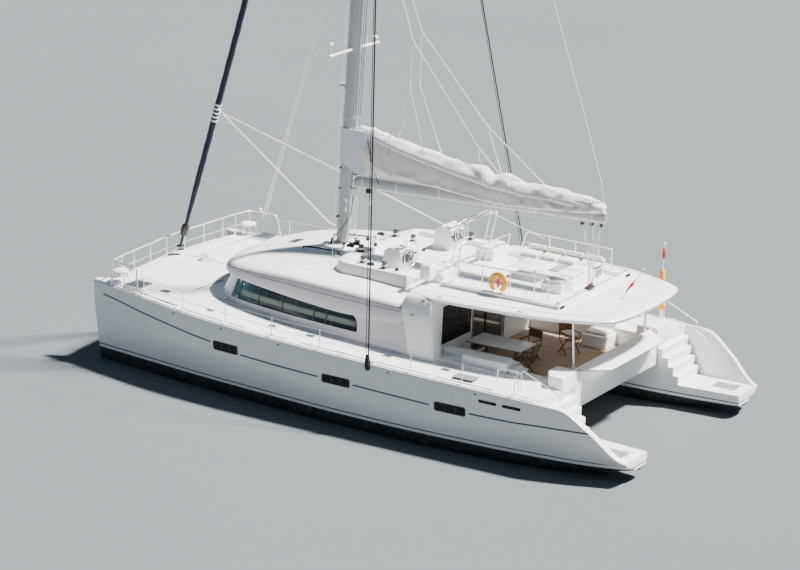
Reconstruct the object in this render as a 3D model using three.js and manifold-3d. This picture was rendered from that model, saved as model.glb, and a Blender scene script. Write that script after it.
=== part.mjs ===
// Flybridge sailing catamaran, 62 feet, afloat with her mainsail stowed on the boom and her
// headsail furled. Lengths are in millimetres. +X is forward, +Y is port and +Z is up. The tables
// measure heights from the boot line painted round the hulls, and the last lines of this file
// lift the boat by FLOAT_Z, so that the origin lies on the waterline, amidships, on the centreline.

import * as THREE from 'three';
import { mergeVertices } from 'three/addons/utils/BufferGeometryUtils.js';
import Module from 'manifold-3d';

const wasm = await Module();
wasm.setup();

// Driving dimensions of the hulls and decks
const STERN_X = -9450;           // aft end of the stern scoops; the bow is as far forward
const FLOAT_Z = 350;             // height of the boot line above the water
const DRAFT = 1550;              // from the water to the foot of the stub keels
const HULL_Y = 3800;             // centreline of each hull
const INNER_Y = 2800;            // inboard face of each hull where the bridgedeck joins it
const DECK_CROWN = 80;           // rise of the side deck from gunwale to inboard edge
const BRIDGE_UNDER_Z = 720;      // bridgedeck underside
const COAMING_UNDER_Z = 950;     // its underside at the aft end
const SOLE_Z = 1300;             // saloon and cockpit sole
const PLATFORM_Z = 380;          // stern platforms
const FOREDECK_UNDER_Z = 1900;
const FOREDECK_REAR_X = 5200;
const BULWARK = 200;             // thickness of the bulwark beside each scoop
const BULKHEAD_X = -2400;        // saloon aft bulkhead, forward face
const COCKPIT_END_X = -6800;     // aft end of the sole

// Driving dimensions of the upper works
const WALL = 70;                 // thickness of deckhouse walls
const WINDOW_SILL_Z = 2200;
const WINDOW_HEAD_Z = 2880;
const HARDTOP_UNDER_Z = 3520;
const HARDTOP_TOP_Z = 3720;
const HARDTOP_AFT_X = -7900;

// Driving dimensions of the rig
const MAST_FOOT = [2760, 0, 3720];
const MAST_TOP_Z = 31200;
const MAST_RAKE = Math.tan(THREE.MathUtils.degToRad(1.2));
const MAST_HALF_CHORD = 230;
const MAST_HALF_WIDTH = 140;
const GOOSENECK = [2430, 0, 5700];
const BOOM_END = [-6170, 0, 6120];
const HOUNDS_Z = 27000;
const CHAINPLATE = [-1270, 4900, 1890];
const FORESTAY_FOOT = [8780, 0, 2560];

// Driving dimensions of the gear that turns
const RUDDER_X = -7500;
const RUDDER_TOP_Z = -500;
const RUDDER_STOCK_R = 50;
const SHAFT_SLOPE = THREE.MathUtils.degToRad(10);
const SHAFT_R = 25;
const SHAFT_LENGTH = 1600;
const PROPELLER = [-6560, HULL_Y, -1030];
const PROPELLER_R = 255;
const WHEEL_R = 400;

// Clearances
const GAP = 0.3;                 // between pieces that touch
const PIN_GAP = 0.5;             // round a pin, stock or shaft
const PIN_SIDES = 24;
const boreOf = (radius) => (radius + PIN_GAP) / Math.cos(Math.PI / PIN_SIDES);

const boat = new THREE.Group();

const COLOURS = {
  gelcoat: [0xf2f3f1, 0.35, 0],
  shade: [0xd9dbdd, 0.45, 0],
  bandGrey: [0xc9c6cf, 0.4, 0],
  glass: [0x17232b, 0.08, 0],
  antifouling: [0x1c1e22, 0.8, 0],
  mastGrey: [0xa9adb0, 0.4, 0.6],
  steel: [0xd4d7d9, 0.2, 1],
  canvas: [0xcfcac4, 0.85, 0],
  sailNavy: [0x1d2236, 0.85, 0],
  cushion: [0xe6e2d8, 0.85, 0],
  black: [0x15161a, 0.5, 0],
  bronze: [0x9a7b45, 0.4, 0.8],
  lifeOrange: [0xe9a21c, 0.6, 0],
};

// Ways of making and joining shapes

function node(name, colour, geometry) {
  const [hex, roughness, metalness] = COLOURS[colour];
  const material = new THREE.MeshStandardMaterial({ color: hex, roughness, metalness });
  const mesh = new THREE.Mesh(geometry, material);
  mesh.name = name;
  boat.add(mesh);
  return mesh;
}

function solidOf(geometry) {
  const bare = geometry.clone();
  bare.deleteAttribute('normal');
  bare.deleteAttribute('uv');
  const merged = mergeVertices(bare, 0.001);
  return new wasm.Manifold(new wasm.Mesh({
    numProp: 3,
    vertProperties: Float32Array.from(merged.attributes.position.array),
    triVerts: Uint32Array.from(merged.index.array),
  }));
}

function geometryOf(solid) {
  const mesh = solid.getMesh();
  const geometry = new THREE.BufferGeometry();
  geometry.setAttribute('position', new THREE.BufferAttribute(mesh.vertProperties, 3));
  geometry.setIndex(new THREE.BufferAttribute(mesh.triVerts, 1));
  return geometry;
}

function join(...pieces) {
  return geometryOf(pieces.map(solidOf).reduce((whole, piece) => whole.add(piece)));
}

function cut(body, ...tools) {
  return geometryOf(tools.map(solidOf).reduce((left, tool) => left.subtract(tool), solidOf(body)));
}

function common(first, second) {
  return geometryOf(solidOf(first).intersect(solidOf(second)));
}

function moved(geometry, x, y, z) {
  return geometry.clone().translate(x, y, z);
}

// The body cut back from its neighbours, so that it lies GAP from each of them
const OFFSETS = [[1, 0, 0], [-1, 0, 0], [0, 1, 0], [0, -1, 0], [0, 0, 1], [0, 0, -1]];
function clearOf(body, ...neighbours) {
  const tools = neighbours.flatMap((piece) => OFFSETS.map(([x, y, z]) => moved(piece, x * GAP, y * GAP, z * GAP)));
  return cut(body, ...tools);
}

// The same piece on the other side of the centreline
function starboard(geometry) {
  const bare = geometry.clone();
  bare.deleteAttribute('normal');
  bare.deleteAttribute('uv');
  const copy = mergeVertices(bare, 0.001);
  copy.scale(1, -1, 1);
  const index = copy.index.array;
  for (let i = 0; i < index.length; i += 3) {
    [index[i], index[i + 1]] = [index[i + 1], index[i]];
  }
  return copy;
}

// A piece on each side, both cut back from the neighbours
function pair(name, colour, form, ...neighbours) {
  node(`${name}_port`, colour, clearOf(form, ...neighbours));
  node(`${name}_starboard`, colour, clearOf(starboard(form), ...neighbours));
}

function box(x0, x1, y0, y1, z0, z1) {
  const geometry = new THREE.BoxGeometry(x1 - x0, y1 - y0, z1 - z0);
  return geometry.translate((x0 + x1) / 2, (y0 + y1) / 2, (z0 + z1) / 2);
}

const vec = (point) => new THREE.Vector3(...point);

// A round bar from one point to another
function rod(from, to, radius, sides = 8, endRadius = radius) {
  const start = vec(from);
  const along = vec(to).sub(start);
  const geometry = new THREE.CylinderGeometry(endRadius, radius, along.length(), sides);
  geometry.translate(0, along.length() / 2, 0);
  const turn = new THREE.Quaternion().setFromUnitVectors(new THREE.Vector3(0, 1, 0), along.normalize());
  return geometry.applyQuaternion(turn).translate(...start.toArray());
}

// A bent bar through points, with a ball at each bend so that the bars are one body
function rail(points, radius, sides = 6) {
  const pieces = [];
  for (let i = 1; i < points.length; i += 1) pieces.push(rod(points[i - 1], points[i], radius, sides));
  for (const bend of points.slice(1, -1)) {
    pieces.push(new THREE.IcosahedronGeometry(radius * 1.25, 0).translate(...bend));
  }
  return join(...pieces);
}

function shapeOf(points) {
  return new THREE.Shape(points.map(([u, v]) => new THREE.Vector2(u, v)));
}

// A side view in X and Z, drawn out across the boat
function sideForm(outline, y0, y1) {
  const geometry = new THREE.ExtrudeGeometry(shapeOf(outline), { depth: y1 - y0, bevelEnabled: false });
  return geometry.rotateX(Math.PI / 2).translate(0, y1, 0);
}

// A skin over closed rings of points, all with the same number of points, and capped at both ends
function skin(rings, cap = flatCap) {
  const count = rings[0].length;
  const positions = rings.flat(2);
  const faces = [];
  for (let r = 0; r < rings.length - 1; r += 1) {
    const here = r * count;
    const next = here + count;
    for (let i = 0; i < count; i += 1) {
      const j = (i + 1) % count;
      faces.push(here + i, here + j, next + j, here + i, next + j, next + i);
    }
  }
  faces.push(...cap(rings[0], 0, true));
  faces.push(...cap(rings[rings.length - 1], (rings.length - 1) * count, false));
  const geometry = new THREE.BufferGeometry();
  geometry.setAttribute('position', new THREE.Float32BufferAttribute(positions, 3));
  geometry.setIndex(faces);
  return outward(geometry);
}

// Triangles over one ring, which is drawn flat on the plane that it nearly lies in
function flatCap(ring, first, reversed) {
  const normal = new THREE.Vector3();
  for (let i = 0; i < ring.length; i += 1) {
    normal.add(vec(ring[i]).cross(vec(ring[(i + 1) % ring.length])));
  }
  const side = normal.normalize();
  const sizes = side.toArray().map(Math.abs);
  const least = new THREE.Vector3().setComponent(sizes.indexOf(Math.min(...sizes)), 1);
  const v = side.clone().cross(least).normalize();
  const u = v.clone().cross(side);
  const flat = ring.map((point) => new THREE.Vector2(vec(point).dot(u), vec(point).dot(v)));
  return THREE.ShapeUtils.triangulateShape(flat, []).flatMap(([a, b, c]) => (
    reversed ? [first + a, first + c, first + b] : [first + a, first + b, first + c]));
}

// Triangles over a bowed ring whose point i lies opposite its point count - 2 - i
function bowedCap(ring, first, reversed) {
  const count = ring.length;
  const facing = (i) => (2 * count - 2 - i) % count;
  const faces = [];
  for (let step = -1; step < count / 2 - 1; step += 1) {
    const i = (step + count) % count;
    const j = (i + 1) % count;
    if (j !== facing(j)) faces.push([i, j, facing(j)]);
    if (i !== facing(i)) faces.push([i, facing(j), facing(i)]);
  }
  return faces.flatMap(([a, b, c]) => (reversed ? [first + a, first + c, first + b] : [first + a, first + b, first + c]));
}

// Turns a closed skin's faces outward if they point in
function outward(geometry) {
  const index = geometry.index.array;
  const points = geometry.attributes.position;
  const corner = (i) => new THREE.Vector3().fromBufferAttribute(points, index[i]);
  let volume = 0;
  for (let i = 0; i < index.length; i += 3) {
    volume += corner(i).dot(corner(i + 1).cross(corner(i + 2)));
  }
  if (volume < 0) {
    for (let i = 0; i < index.length; i += 3) [index[i], index[i + 1]] = [index[i + 1], index[i]];
  }
  return geometry;
}

const mix = (a, b, t) => a + (b - a) * t;

// A value from a table of rows [x, ...] by straight lines between the rows
function along(rows, x, column) {
  const table = [...rows].sort((a, b) => b[0] - a[0]);
  if (x >= table[0][0]) return table[0][column];
  for (let i = 1; i < table.length; i += 1) {
    const [x0, x1] = [table[i - 1][0], table[i][0]];
    if (x >= x1) return mix(table[i - 1][column], table[i][column], (x0 - x) / (x0 - x1));
  }
  return table[table.length - 1][column];
}

// Hulls
// x, sheer height, gunwale y, outboard waterline y, inboard deck y, inboard waterline y, keel line z, stem rake
const STATIONS = [
  [9440, 2120, 3790, 3770, 3710, 3730, -420, 270],
  [9250, 2118, 3840, 3790, 3650, 3690, -620, 240],
  [8400, 2104, 3985, 3900, 3260, 3590, -860, 130],
  [7000, 2068, 4330, 4080, 3000, 3400, -1000, 0],
  [4800, 2002, 4760, 4370, INNER_Y, 3140, -1080, 0],
  [2400, 1932, 4950, 4600, INNER_Y, 2940, -1110, 0],
  [-100, 1868, 5000, 4790, INNER_Y, 2830, -1110, 0],
  [-2500, 1804, 5000, 4850, INNER_Y, 2810, -1060, 0],
  [-5000, 1762, 5000, 4760, INNER_Y, 2860, -900, 0],
  [-6800, 1722, 4985, 4600, INNER_Y, 2920, -620, 0],
  [-7460, 1702, 4975, 4520, 2960, 2970, -460, 0],
  [-8400, 1150, 4840, 4340, 3040, 3060, -240, 0],
  [-9280, 440, 4600, 4060, 3120, 3160, -60, 0],
  [STERN_X, 392, 4540, 3980, 3150, 3200, -20, 0],
];
const SHEER = 1;
const GUNWALE = 2;
const INNER_DECK = 4;
const sheerAt = (x) => along(STATIONS, x, SHEER);
const gunwaleAt = (x) => along(STATIONS, x, GUNWALE);
const innerDeckAt = (x) => along(STATIONS, x, INNER_DECK);

// The deck's height at any place between the gunwale and the inboard edge
function deckZ(x, y) {
  const inward = (gunwaleAt(x) - Math.abs(y)) / (gunwaleAt(x) - innerDeckAt(x));
  return sheerAt(x) + DECK_CROWN * Math.min(1, Math.max(0, inward));
}

const WATER_Z = 120;
function hullRing([x, sheer, gunwale, water, innerDeck, innerWater, keel, rake]) {
  const middle = (water + innerWater) / 2;
  const half = (water - innerWater) / 2;
  const section = [
    [gunwale, sheer],
    [mix(water, gunwale, 0.8), mix(WATER_Z, sheer, 0.55)],
    [water, WATER_Z],
    [middle + 0.92 * half, 0.35 * keel],
    [middle + 0.62 * half, 0.78 * keel],
    [middle, keel],
    [middle - 0.62 * half, 0.78 * keel],
    [middle - 0.92 * half, 0.35 * keel],
    [innerWater, WATER_Z],
    [mix(innerWater, innerDeck, 0.7), mix(WATER_Z, sheer, 0.42)],
    [innerDeck, mix(WATER_Z, sheer, 0.75)],
    [innerDeck, sheer + DECK_CROWN],
  ];
  return section.map(([y, z]) => [x - rake * ((sheer - Math.min(z, sheer)) / sheer) ** 1.4, y, z]);
}
const hullForm = skin(STATIONS.map(hullRing));

// The scoop: treads step down from the deck to the stern platform
const SCOOP_START_X = -6820;
const TREAD = 270;
const TREADS = 5;
function scoopTool() {
  const high = 2600;
  const drop = (sheerAt(SCOOP_START_X) - PLATFORM_Z) / TREADS;
  const profile = [[STERN_X - 200, high], [SCOOP_START_X, high]];
  for (let step = 0; step < TREADS; step += 1) {
    const x = SCOOP_START_X - step * TREAD;
    profile.push([x, sheerAt(SCOOP_START_X) - step * drop + (step === 0 ? DECK_CROWN : 0)]);
    profile.push([x, sheerAt(SCOOP_START_X) - (step + 1) * drop]);
  }
  profile.push([STERN_X - 200, PLATFORM_Z]);
  const stairs = sideForm(profile, 2000, 5400);
  const rows = STATIONS.filter(([x]) => x <= -5000);
  const inside = skin([...rows, [STERN_X - 300, ...rows[rows.length - 1].slice(1)]].map(([x, , gunwale]) => [
    [x, 1900, -500], [x, gunwale - BULWARK, -500], [x, gunwale - BULWARK, 3000], [x, 1900, 3000],
  ]));
  return common(stairs, inside);
}

// Rudder stocks run up into the hulls, and shafts come out of them
const stockHole = rod([RUDDER_X, HULL_Y, RUDDER_TOP_Z - 200], [RUDDER_X, HULL_Y, 60], boreOf(RUDDER_STOCK_R), PIN_SIDES);
const shaftDirection = [Math.cos(SHAFT_SLOPE), 0, Math.sin(SHAFT_SLOPE)];
const onShaft = (forward) => PROPELLER.map((value, i) => value + shaftDirection[i] * forward);
const shaftHole = rod(onShaft(1000), onShaft(SHAFT_LENGTH + 60), boreOf(SHAFT_R), PIN_SIDES);
const portHull = cut(hullForm, scoopTool(), stockHole, shaftHole);
const starboardHull = starboard(portHull);
node('hull_port', 'gelcoat', portHull);
node('hull_starboard', 'gelcoat', starboardHull);
const hulls = [portHull, starboardHull];

// Stub keels
const KEEL_FOOT_Z = -DRAFT - FLOAT_Z;
// height, leading edge x, trailing edge x, half thickness
const KEEL_SECTIONS = [
  [-800, 2500, -1500, 170],
  [KEEL_FOOT_Z + 120, 1900, -1350, 130],
  [KEEL_FOOT_Z, 1750, -1300, 70],
];
function foilRing([z, front, back, half]) {
  const chord = front - back;
  return [
    [front, HULL_Y, z], [front - 0.08 * chord, HULL_Y + 0.7 * half, z], [front - 0.35 * chord, HULL_Y + half, z],
    [back + 0.25 * chord, HULL_Y + 0.55 * half, z], [back, HULL_Y + 12, z], [back, HULL_Y - 12, z],
    [back + 0.25 * chord, HULL_Y - 0.55 * half, z], [front - 0.35 * chord, HULL_Y - half, z],
    [front - 0.08 * chord, HULL_Y - 0.7 * half, z],
  ];
}
pair('keel', 'antifouling', skin(KEEL_SECTIONS.map(foilRing)), ...hulls);

// Rudders: a spade blade and its stock, which turns in the hull
// height, leading edge x, trailing edge x, half thickness
const RUDDER_SECTIONS = [
  [RUDDER_TOP_Z, RUDDER_X + 190, RUDDER_X - 520, 55],
  [-1800, RUDDER_X + 130, RUDDER_X - 400, 32],
];
const rudder = join(
  skin(RUDDER_SECTIONS.map(foilRing)),
  rod([RUDDER_X, HULL_Y, RUDDER_TOP_Z - 100], [RUDDER_X, HULL_Y, 40], RUDDER_STOCK_R, PIN_SIDES),
);
node('rudder_port', 'antifouling', rudder);
node('rudder_starboard', 'antifouling', starboard(rudder));

// Shaft lines: a log and a bracket on the hull, and a shaft with its propeller
const bracket = cut(
  join(
    rod(onShaft(170), onShaft(360), 62, 12),
    rod(onShaft(265), [onShaft(265)[0] - 40, HULL_Y, -520], 26, 8, 40),
    rod(onShaft(265), [onShaft(265)[0] - 40, HULL_Y + 330, -520], 22, 8, 34),
  ),
  rod(onShaft(60), onShaft(500), boreOf(SHAFT_R), PIN_SIDES),
);
pair('shaft_bracket', 'bronze', bracket, ...hulls);

const BLADES = 3;
function propellerForm() {
  const hub = rod(onShaft(-90), onShaft(110), 62, 16, 50);
  const shaft = rod(onShaft(0), onShaft(SHAFT_LENGTH), SHAFT_R, PIN_SIDES);
  const blades = [];
  for (let i = 0; i < BLADES; i += 1) {
    const outline = shapeOf([[-40, 0], [-70, 90], [-85, 170], [-55, 235], [0, PROPELLER_R], [55, 235], [85, 170],
      [70, 90], [40, 0]]);
    const blade = new THREE.ExtrudeGeometry(outline, { depth: 14, bevelEnabled: false }).translate(0, 0, -7);
    blade.rotateY(Math.PI / 2 + THREE.MathUtils.degToRad(35));
    blade.rotateX((i * 2 * Math.PI) / BLADES + Math.PI / 2);
    blade.rotateY(-SHAFT_SLOPE);
    blades.push(blade.translate(...PROPELLER));
  }
  return join(hub, shaft, ...blades);
}
const propeller = propellerForm();
node('propeller_port', 'bronze', propeller);
node('propeller_starboard', 'bronze', starboard(propeller));

// Bridgedeck: the floor between the hulls and the ramp that carries the foredeck
const bridgeSide = [
  [COCKPIT_END_X, COAMING_UNDER_Z], [-6200, BRIDGE_UNDER_Z], [4200, BRIDGE_UNDER_Z], [5800, 1150],
  [7500, FOREDECK_UNDER_Z - GAP],
  [FOREDECK_REAR_X, FOREDECK_UNDER_Z - GAP], [FOREDECK_REAR_X, SOLE_Z], [COCKPIT_END_X, SOLE_Z],
];
const bridgedeck = clearOf(sideForm(bridgeSide, -3300, 3300), ...hulls);
node('bridgedeck', 'gelcoat', bridgedeck);

// Foredeck: crowned, with a curved front edge between the bows
// rear x at the side, bulge of the ring at the centreline
const FOREDECK_RINGS = [[FOREDECK_REAR_X, 0], [7000, 0], [8400, 130], [8860, 230]];
function foredeckRing([x, bulge]) {
  const half = innerDeckAt(x) - 2 * GAP;
  const across = [-1, -0.75, -0.4, 0, 0.4, 0.75, 1];
  const top = across.map((t) => [
    x + bulge * (1 - t * t), t * half, deckZ(x, innerDeckAt(x)) + 60 * (1 - t * t)]);
  const under = [...across].reverse().map((t) => 0.95 * t).map((t) => [
    x + (bulge - 0.15 * bulge) * (1 - t * t), t * half, FOREDECK_UNDER_Z]);
  return [...top, [x, half, FOREDECK_UNDER_Z + 120], ...under, [x, -half, FOREDECK_UNDER_Z + 120]];
}
const foredeck = clearOf(skin(FOREDECK_RINGS.map(foredeckRing), bowedCap), ...hulls);
node('foredeck', 'gelcoat', foredeck);

// Aft coaming: the curved end of the cockpit, which leans aft, with a bench along it
const COAMING_Z = 2100;
const coamingBend = (y) => 540 * Math.abs(y / INNER_Y) ** 4;
const COAMING_Y = [-1, -0.85, -0.65, -0.35, 0, 0.35, 0.65, 0.85, 1];
const coaming = skin(COAMING_Y.map((t) => {
  const y = t * (INNER_Y - GAP);
  const bend = coamingBend(y);
  return [
    [COCKPIT_END_X - GAP, y, COAMING_UNDER_Z], [-7560 + bend, y, 1900], [-7560 + bend, y, COAMING_Z],
    [-7400 + bend, y, COAMING_Z], [COCKPIT_END_X - GAP, y, SOLE_Z + 60],
  ];
}));
node('aft_coaming', 'gelcoat', coaming);
const bench = sideForm([[-6780, SOLE_Z + GAP], [-6200, SOLE_Z + GAP], [-6150, 1720], [-6780, 1720]], -1900, 1900);
node('cockpit_bench', 'gelcoat', bench);

// Deckhouse plan, from the aft bulkhead forward: x, half-width at the deck, half-width at the roof
const HOUSE_PLAN = [
  [BULKHEAD_X, 3760, 3560],
  [-1000, 3740, 3530],
  [600, 3620, 3430],
  [2200, 3430, 3270],
  [3700, 3190, 3010],
  [4800, 2940, 2680],
  [5600, 2480, 2120],
  [6150, 1560, 1250],
];
const HOUSE_FRONT = [6380, 5950];     // x at the centreline, at the deck and at the roof
const HOUSE_ROOF_Z = 2750;
const deckUnder = (x, y) => deckZ(x, Math.max(Math.abs(y), innerDeckAt(x))) - 40;
// A closed plan at one height, or just under the deck; t is 0 at the deck and 1 at the roof
function houseRing(height, inset, drop = 0) {
  const point = (x, y, low) => [x, y, height === null ? deckUnder(x, y) - drop : low];
  const z = height === null ? 1900 : height;
  const t = (z - 1900) / (HOUSE_ROOF_Z - 1900);
  const port = HOUSE_PLAN.map(([x, low, high]) => {
    const forward = x > 3700 ? 0.6 : 0;
    return point(x - inset * forward - (x > 4500 ? 250 * t : 0), mix(low, high, t) - inset, z);
  });
  const nose = point(mix(HOUSE_FRONT[0], HOUSE_FRONT[1], t) - inset, 0, z);
  const other = port.map(([x, y, zz]) => [x, -y, zz]).reverse();
  return [...port, nose, ...other];
}
const wallOuter = skin([houseRing(null, 0), houseRing(WINDOW_SILL_Z, 0), houseRing(HOUSE_ROOF_Z, 0)]);
const wallInner = skin([
  houseRing(null, WALL, 100), houseRing(WINDOW_SILL_Z, WALL), houseRing(HOUSE_ROOF_Z + 50, WALL)]);
const openAft = box(BULKHEAD_X - 50, BULKHEAD_X + WALL, -3300, 3300, 1000, 4000);
const SLOT_AFT_X = 20;           // aft end of the window
const windowSlot = box(SLOT_AFT_X, 7000, -4200, 4200, WINDOW_SILL_Z, HOUSE_ROOF_Z + 100);
const deckhouse = clearOf(cut(wallOuter, wallInner, openAft, windowSlot), ...hulls, foredeck);
node('deckhouse_wall', 'bandGrey', deckhouse);

// Wrap window: one dark band that stands on the sill
const glassOuter = skin([houseRing(WINDOW_SILL_Z + GAP, 15), houseRing(WINDOW_HEAD_Z, 15)]);
const glassInner = skin([houseRing(WINDOW_SILL_Z - 100, 45), houseRing(WINDOW_HEAD_Z + 100, 45)]);
const windowBand = clearOf(
  cut(glassOuter, glassInner, box(-4000, SLOT_AFT_X, -4200, 4200, 1000, 4000)), deckhouse);
node('window_band', 'glass', windowBand);

// Coachroof: a crowned shell whose brow overhangs the window
// x, half-width at the brow foot, half-width at the brow top, foot z, brow top z, crown z
const ROOF_SECTIONS = [
  [BULKHEAD_X, 3600, 3480, 3060, 3180, 3600],
  [-1300, 3590, 3470, 2760, 3230, 3600],
  [600, 3530, 3420, 2680, 3280, 3700],
  [2200, 3400, 3290, 2750, 3290, 3680],
  [3700, 3150, 3020, 2820, 3220, 3560],
  [4900, 2780, 2620, 2850, 3110, 3380],
  [5600, 2200, 2020, 2850, 3010, 3210],
  [6000, 1350, 1200, 2840, 2930, 3050],
];
const ROOF_SKIN = 90;
const archOf = (t) => (1 - t * t) ** 0.5;
function roofRing([x, foot, brow, footZ, browZ, crownZ]) {
  const across = [-1, -0.93, -0.75, -0.4, 0, 0.4, 0.75, 0.93, 1];
  const upper = across.map((t) => [x, t * brow, mix(browZ, crownZ, archOf(t))]);
  const lower = [1, 0.66, 0, -0.66, -1].map((t) => [
    x, t * (foot - 160), Math.max(footZ, mix(footZ, crownZ - ROOF_SKIN, Math.min(1, 1.25 * (1 - t * t))))]);
  return [...upper, [x, foot, footZ], ...lower, [x, -foot, footZ]];
}
const roofForm = skin(ROOF_SECTIONS.map(roofRing));
const roofFilled = join(roofForm, skin(ROOF_SECTIONS.map(([x, , brow, , browZ, crownZ]) => (
  [-0.75, -0.4, 0, 0.4, 0.75].map((t) => [x, t * brow, mix(browZ, crownZ, archOf(t)) - 20])
    .concat([[x, 0.75 * brow, 2950], [x, -0.75 * brow, 2950]])))));
const coachroof = clearOf(roofForm, deckhouse, windowBand);
node('coachroof', 'gelcoat', coachroof);
// Height of the roof's top at any place
function roofZ(x, y) {
  const t = Math.min(1, Math.abs(y) / along(ROOF_SECTIONS, x, 2));
  return mix(along(ROOF_SECTIONS, x, 4), along(ROOF_SECTIONS, x, 5), archOf(t));
}

// Saloon aft bulkhead with a window opening, a doorway and a side panel
const DOOR_HALF = 950;
const DOOR_HEAD_Z = 3200;
const bulkhead = clearOf(
  cut(
    box(BULKHEAD_X - 60, BULKHEAD_X - GAP, -3450, 3450, SOLE_Z + GAP, HARDTOP_UNDER_Z - GAP),
    box(BULKHEAD_X - 200, BULKHEAD_X + 100, -DOOR_HALF, DOOR_HALF, SOLE_Z + 60, DOOR_HEAD_Z),
    box(BULKHEAD_X - 200, BULKHEAD_X + 100, 1150, 2500, 2150, 3180),
    box(BULKHEAD_X - 200, BULKHEAD_X + 100, -2500, -1150, 2150, 3180),
  ),
  ...hulls,
);
node('saloon_bulkhead', 'gelcoat', bulkhead);
// Two panes: the starboard one is fixed, the port one slides behind it
const PANE = 24;
const fixedPane = box(BULKHEAD_X + 4, BULKHEAD_X + 4 + PANE, -DOOR_HALF - 40, 30, SOLE_Z + GAP, DOOR_HEAD_Z + 40);
node('fixed_door_pane', 'glass', fixedPane);
const slidePane = box(
  BULKHEAD_X + 12 + PANE, BULKHEAD_X + 12 + 2 * PANE, -30, DOOR_HALF + 40, SOLE_Z + PIN_GAP, DOOR_HEAD_Z + 40);
node('sliding_door', 'glass', slidePane);

// Saloon furniture, seen only as dark shapes through the glass
const furniture = join(
  box(-1500, 1500, 1500, 2500, SOLE_Z + GAP, 1750),
  box(400, 3600, 2100, 2650, SOLE_Z + GAP, 2050),
  box(2800, 4200, -2600, 2500, SOLE_Z + GAP, 1900),
  box(-1700, 3000, -2650, -2000, SOLE_Z + GAP, 2150),
);
node('saloon_furniture', 'shade', furniture);

// Hardtop: flybridge deck over saloon and cockpit
// x, half-width
const HARDTOP_PLAN = [
  [-1500, 3250], [-2300, 3420], [-4200, 3300], [-5600, 3140], [-6700, 2750], [-7640, 2200],
];
const hardtopOutline = [
  ...HARDTOP_PLAN, [-7860, 1200], [HARDTOP_AFT_X, 0], [-7860, -1200],
  ...HARDTOP_PLAN.map(([x, y]) => [x, -y]).reverse(),
];
const inset = (outline, by) => outline.map(([x, y]) => [x + (x < -7000 ? by : 0), y - Math.sign(y) * by]);
const hardtopSolid = skin([
  inset(hardtopOutline, 120).map(([x, y]) => [x, y, HARDTOP_UNDER_Z]),
  hardtopOutline.map(([x, y]) => [x, y, HARDTOP_UNDER_Z + 90]),
  inset(hardtopOutline, 160).map(([x, y]) => [x, y, HARDTOP_TOP_Z]),
]);
// The flybridge well: a low rim on each side, with the mainsheet track across its aft end
const RIM = { front: -2000, aft: -5980, inside: 1960, outside: 2340, top: 3850 };
const rims = [-1, 1].map((side) => box(
  RIM.aft, RIM.front, side > 0 ? RIM.inside : -RIM.outside, side > 0 ? RIM.outside : -RIM.inside, 3650, RIM.top));
const trackBar = box(RIM.aft, RIM.aft + 220, -RIM.outside, RIM.outside, 3650, RIM.top - 10);
const hardtop = clearOf(join(hardtopSolid, ...rims, trackBar), coachroof);
node('hardtop', 'gelcoat', hardtop);

// Raked wings between the side deck and the hardtop
const wingSide = [[-1950, 1500], [-2760, 1500], [-2560, 2700], [-2700, HARDTOP_UNDER_Z - GAP],
  [-1700, HARDTOP_UNDER_Z - GAP], [-1750, 2700]];
const wing = sideForm(wingSide, 3300, 3560);
pair('wing', 'gelcoat', wing, ...hulls, deckhouse, coachroof, bulkhead, hardtop);

// Posts between the coaming and the hardtop
pair('post', 'steel', rod([-6560, 2350, COAMING_Z - 20], [-6500, 2450, HARDTOP_UNDER_Z + 20], 30, 10), coaming, hardtop);

// Cockpit furniture
const seatSide = join(
  box(-4700, -2480, 1900, INNER_Y - 2, SOLE_Z + GAP, 1720),
  box(-4700, -2480, 2600, INNER_Y - 2, SOLE_Z + GAP, 2080),
);
node('cockpit_settee', 'gelcoat', seatSide);
const table = join(
  box(-4500, -2700, 750, 1750, 1980, 2040),
  rod([-3100, 1250, SOLE_Z + GAP], [-3100, 1250, 2000], 60, 10),
  rod([-4100, 1250, SOLE_Z + GAP], [-4100, 1250, 2000], 60, 10),
);
node('cockpit_table', 'shade', table);

// Flybridge: front coaming with instrument fairing, consoles, wheels, seats
const PLINTH = [
  [1800, 0], [1780, 900], [1740, 1800], [1600, 2340], [1250, 2530], [-1000, 2570], [-1000, -2570], [1250, -2530],
  [1600, -2340], [1740, -1800], [1780, -900],
];
const COAMING_TOP_Z = 3890;
const plinth = clearOf(
  cut(
    skin([
      PLINTH.map(([x, y]) => [x, y, roofZ(x, y) - 40]),
      PLINTH.map(([x, y]) => [x - (x > 0 ? 70 : 0), y * 0.975, COAMING_TOP_Z]),
    ]),
    box(-1100, 1300, -2150, 2150, HARDTOP_TOP_Z, 4000),
  ),
  roofFilled, hardtop,
);
node('flybridge_plinth', 'gelcoat', plinth);
const PLINTH_TOP_Z = HARDTOP_TOP_Z + GAP;

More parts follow.
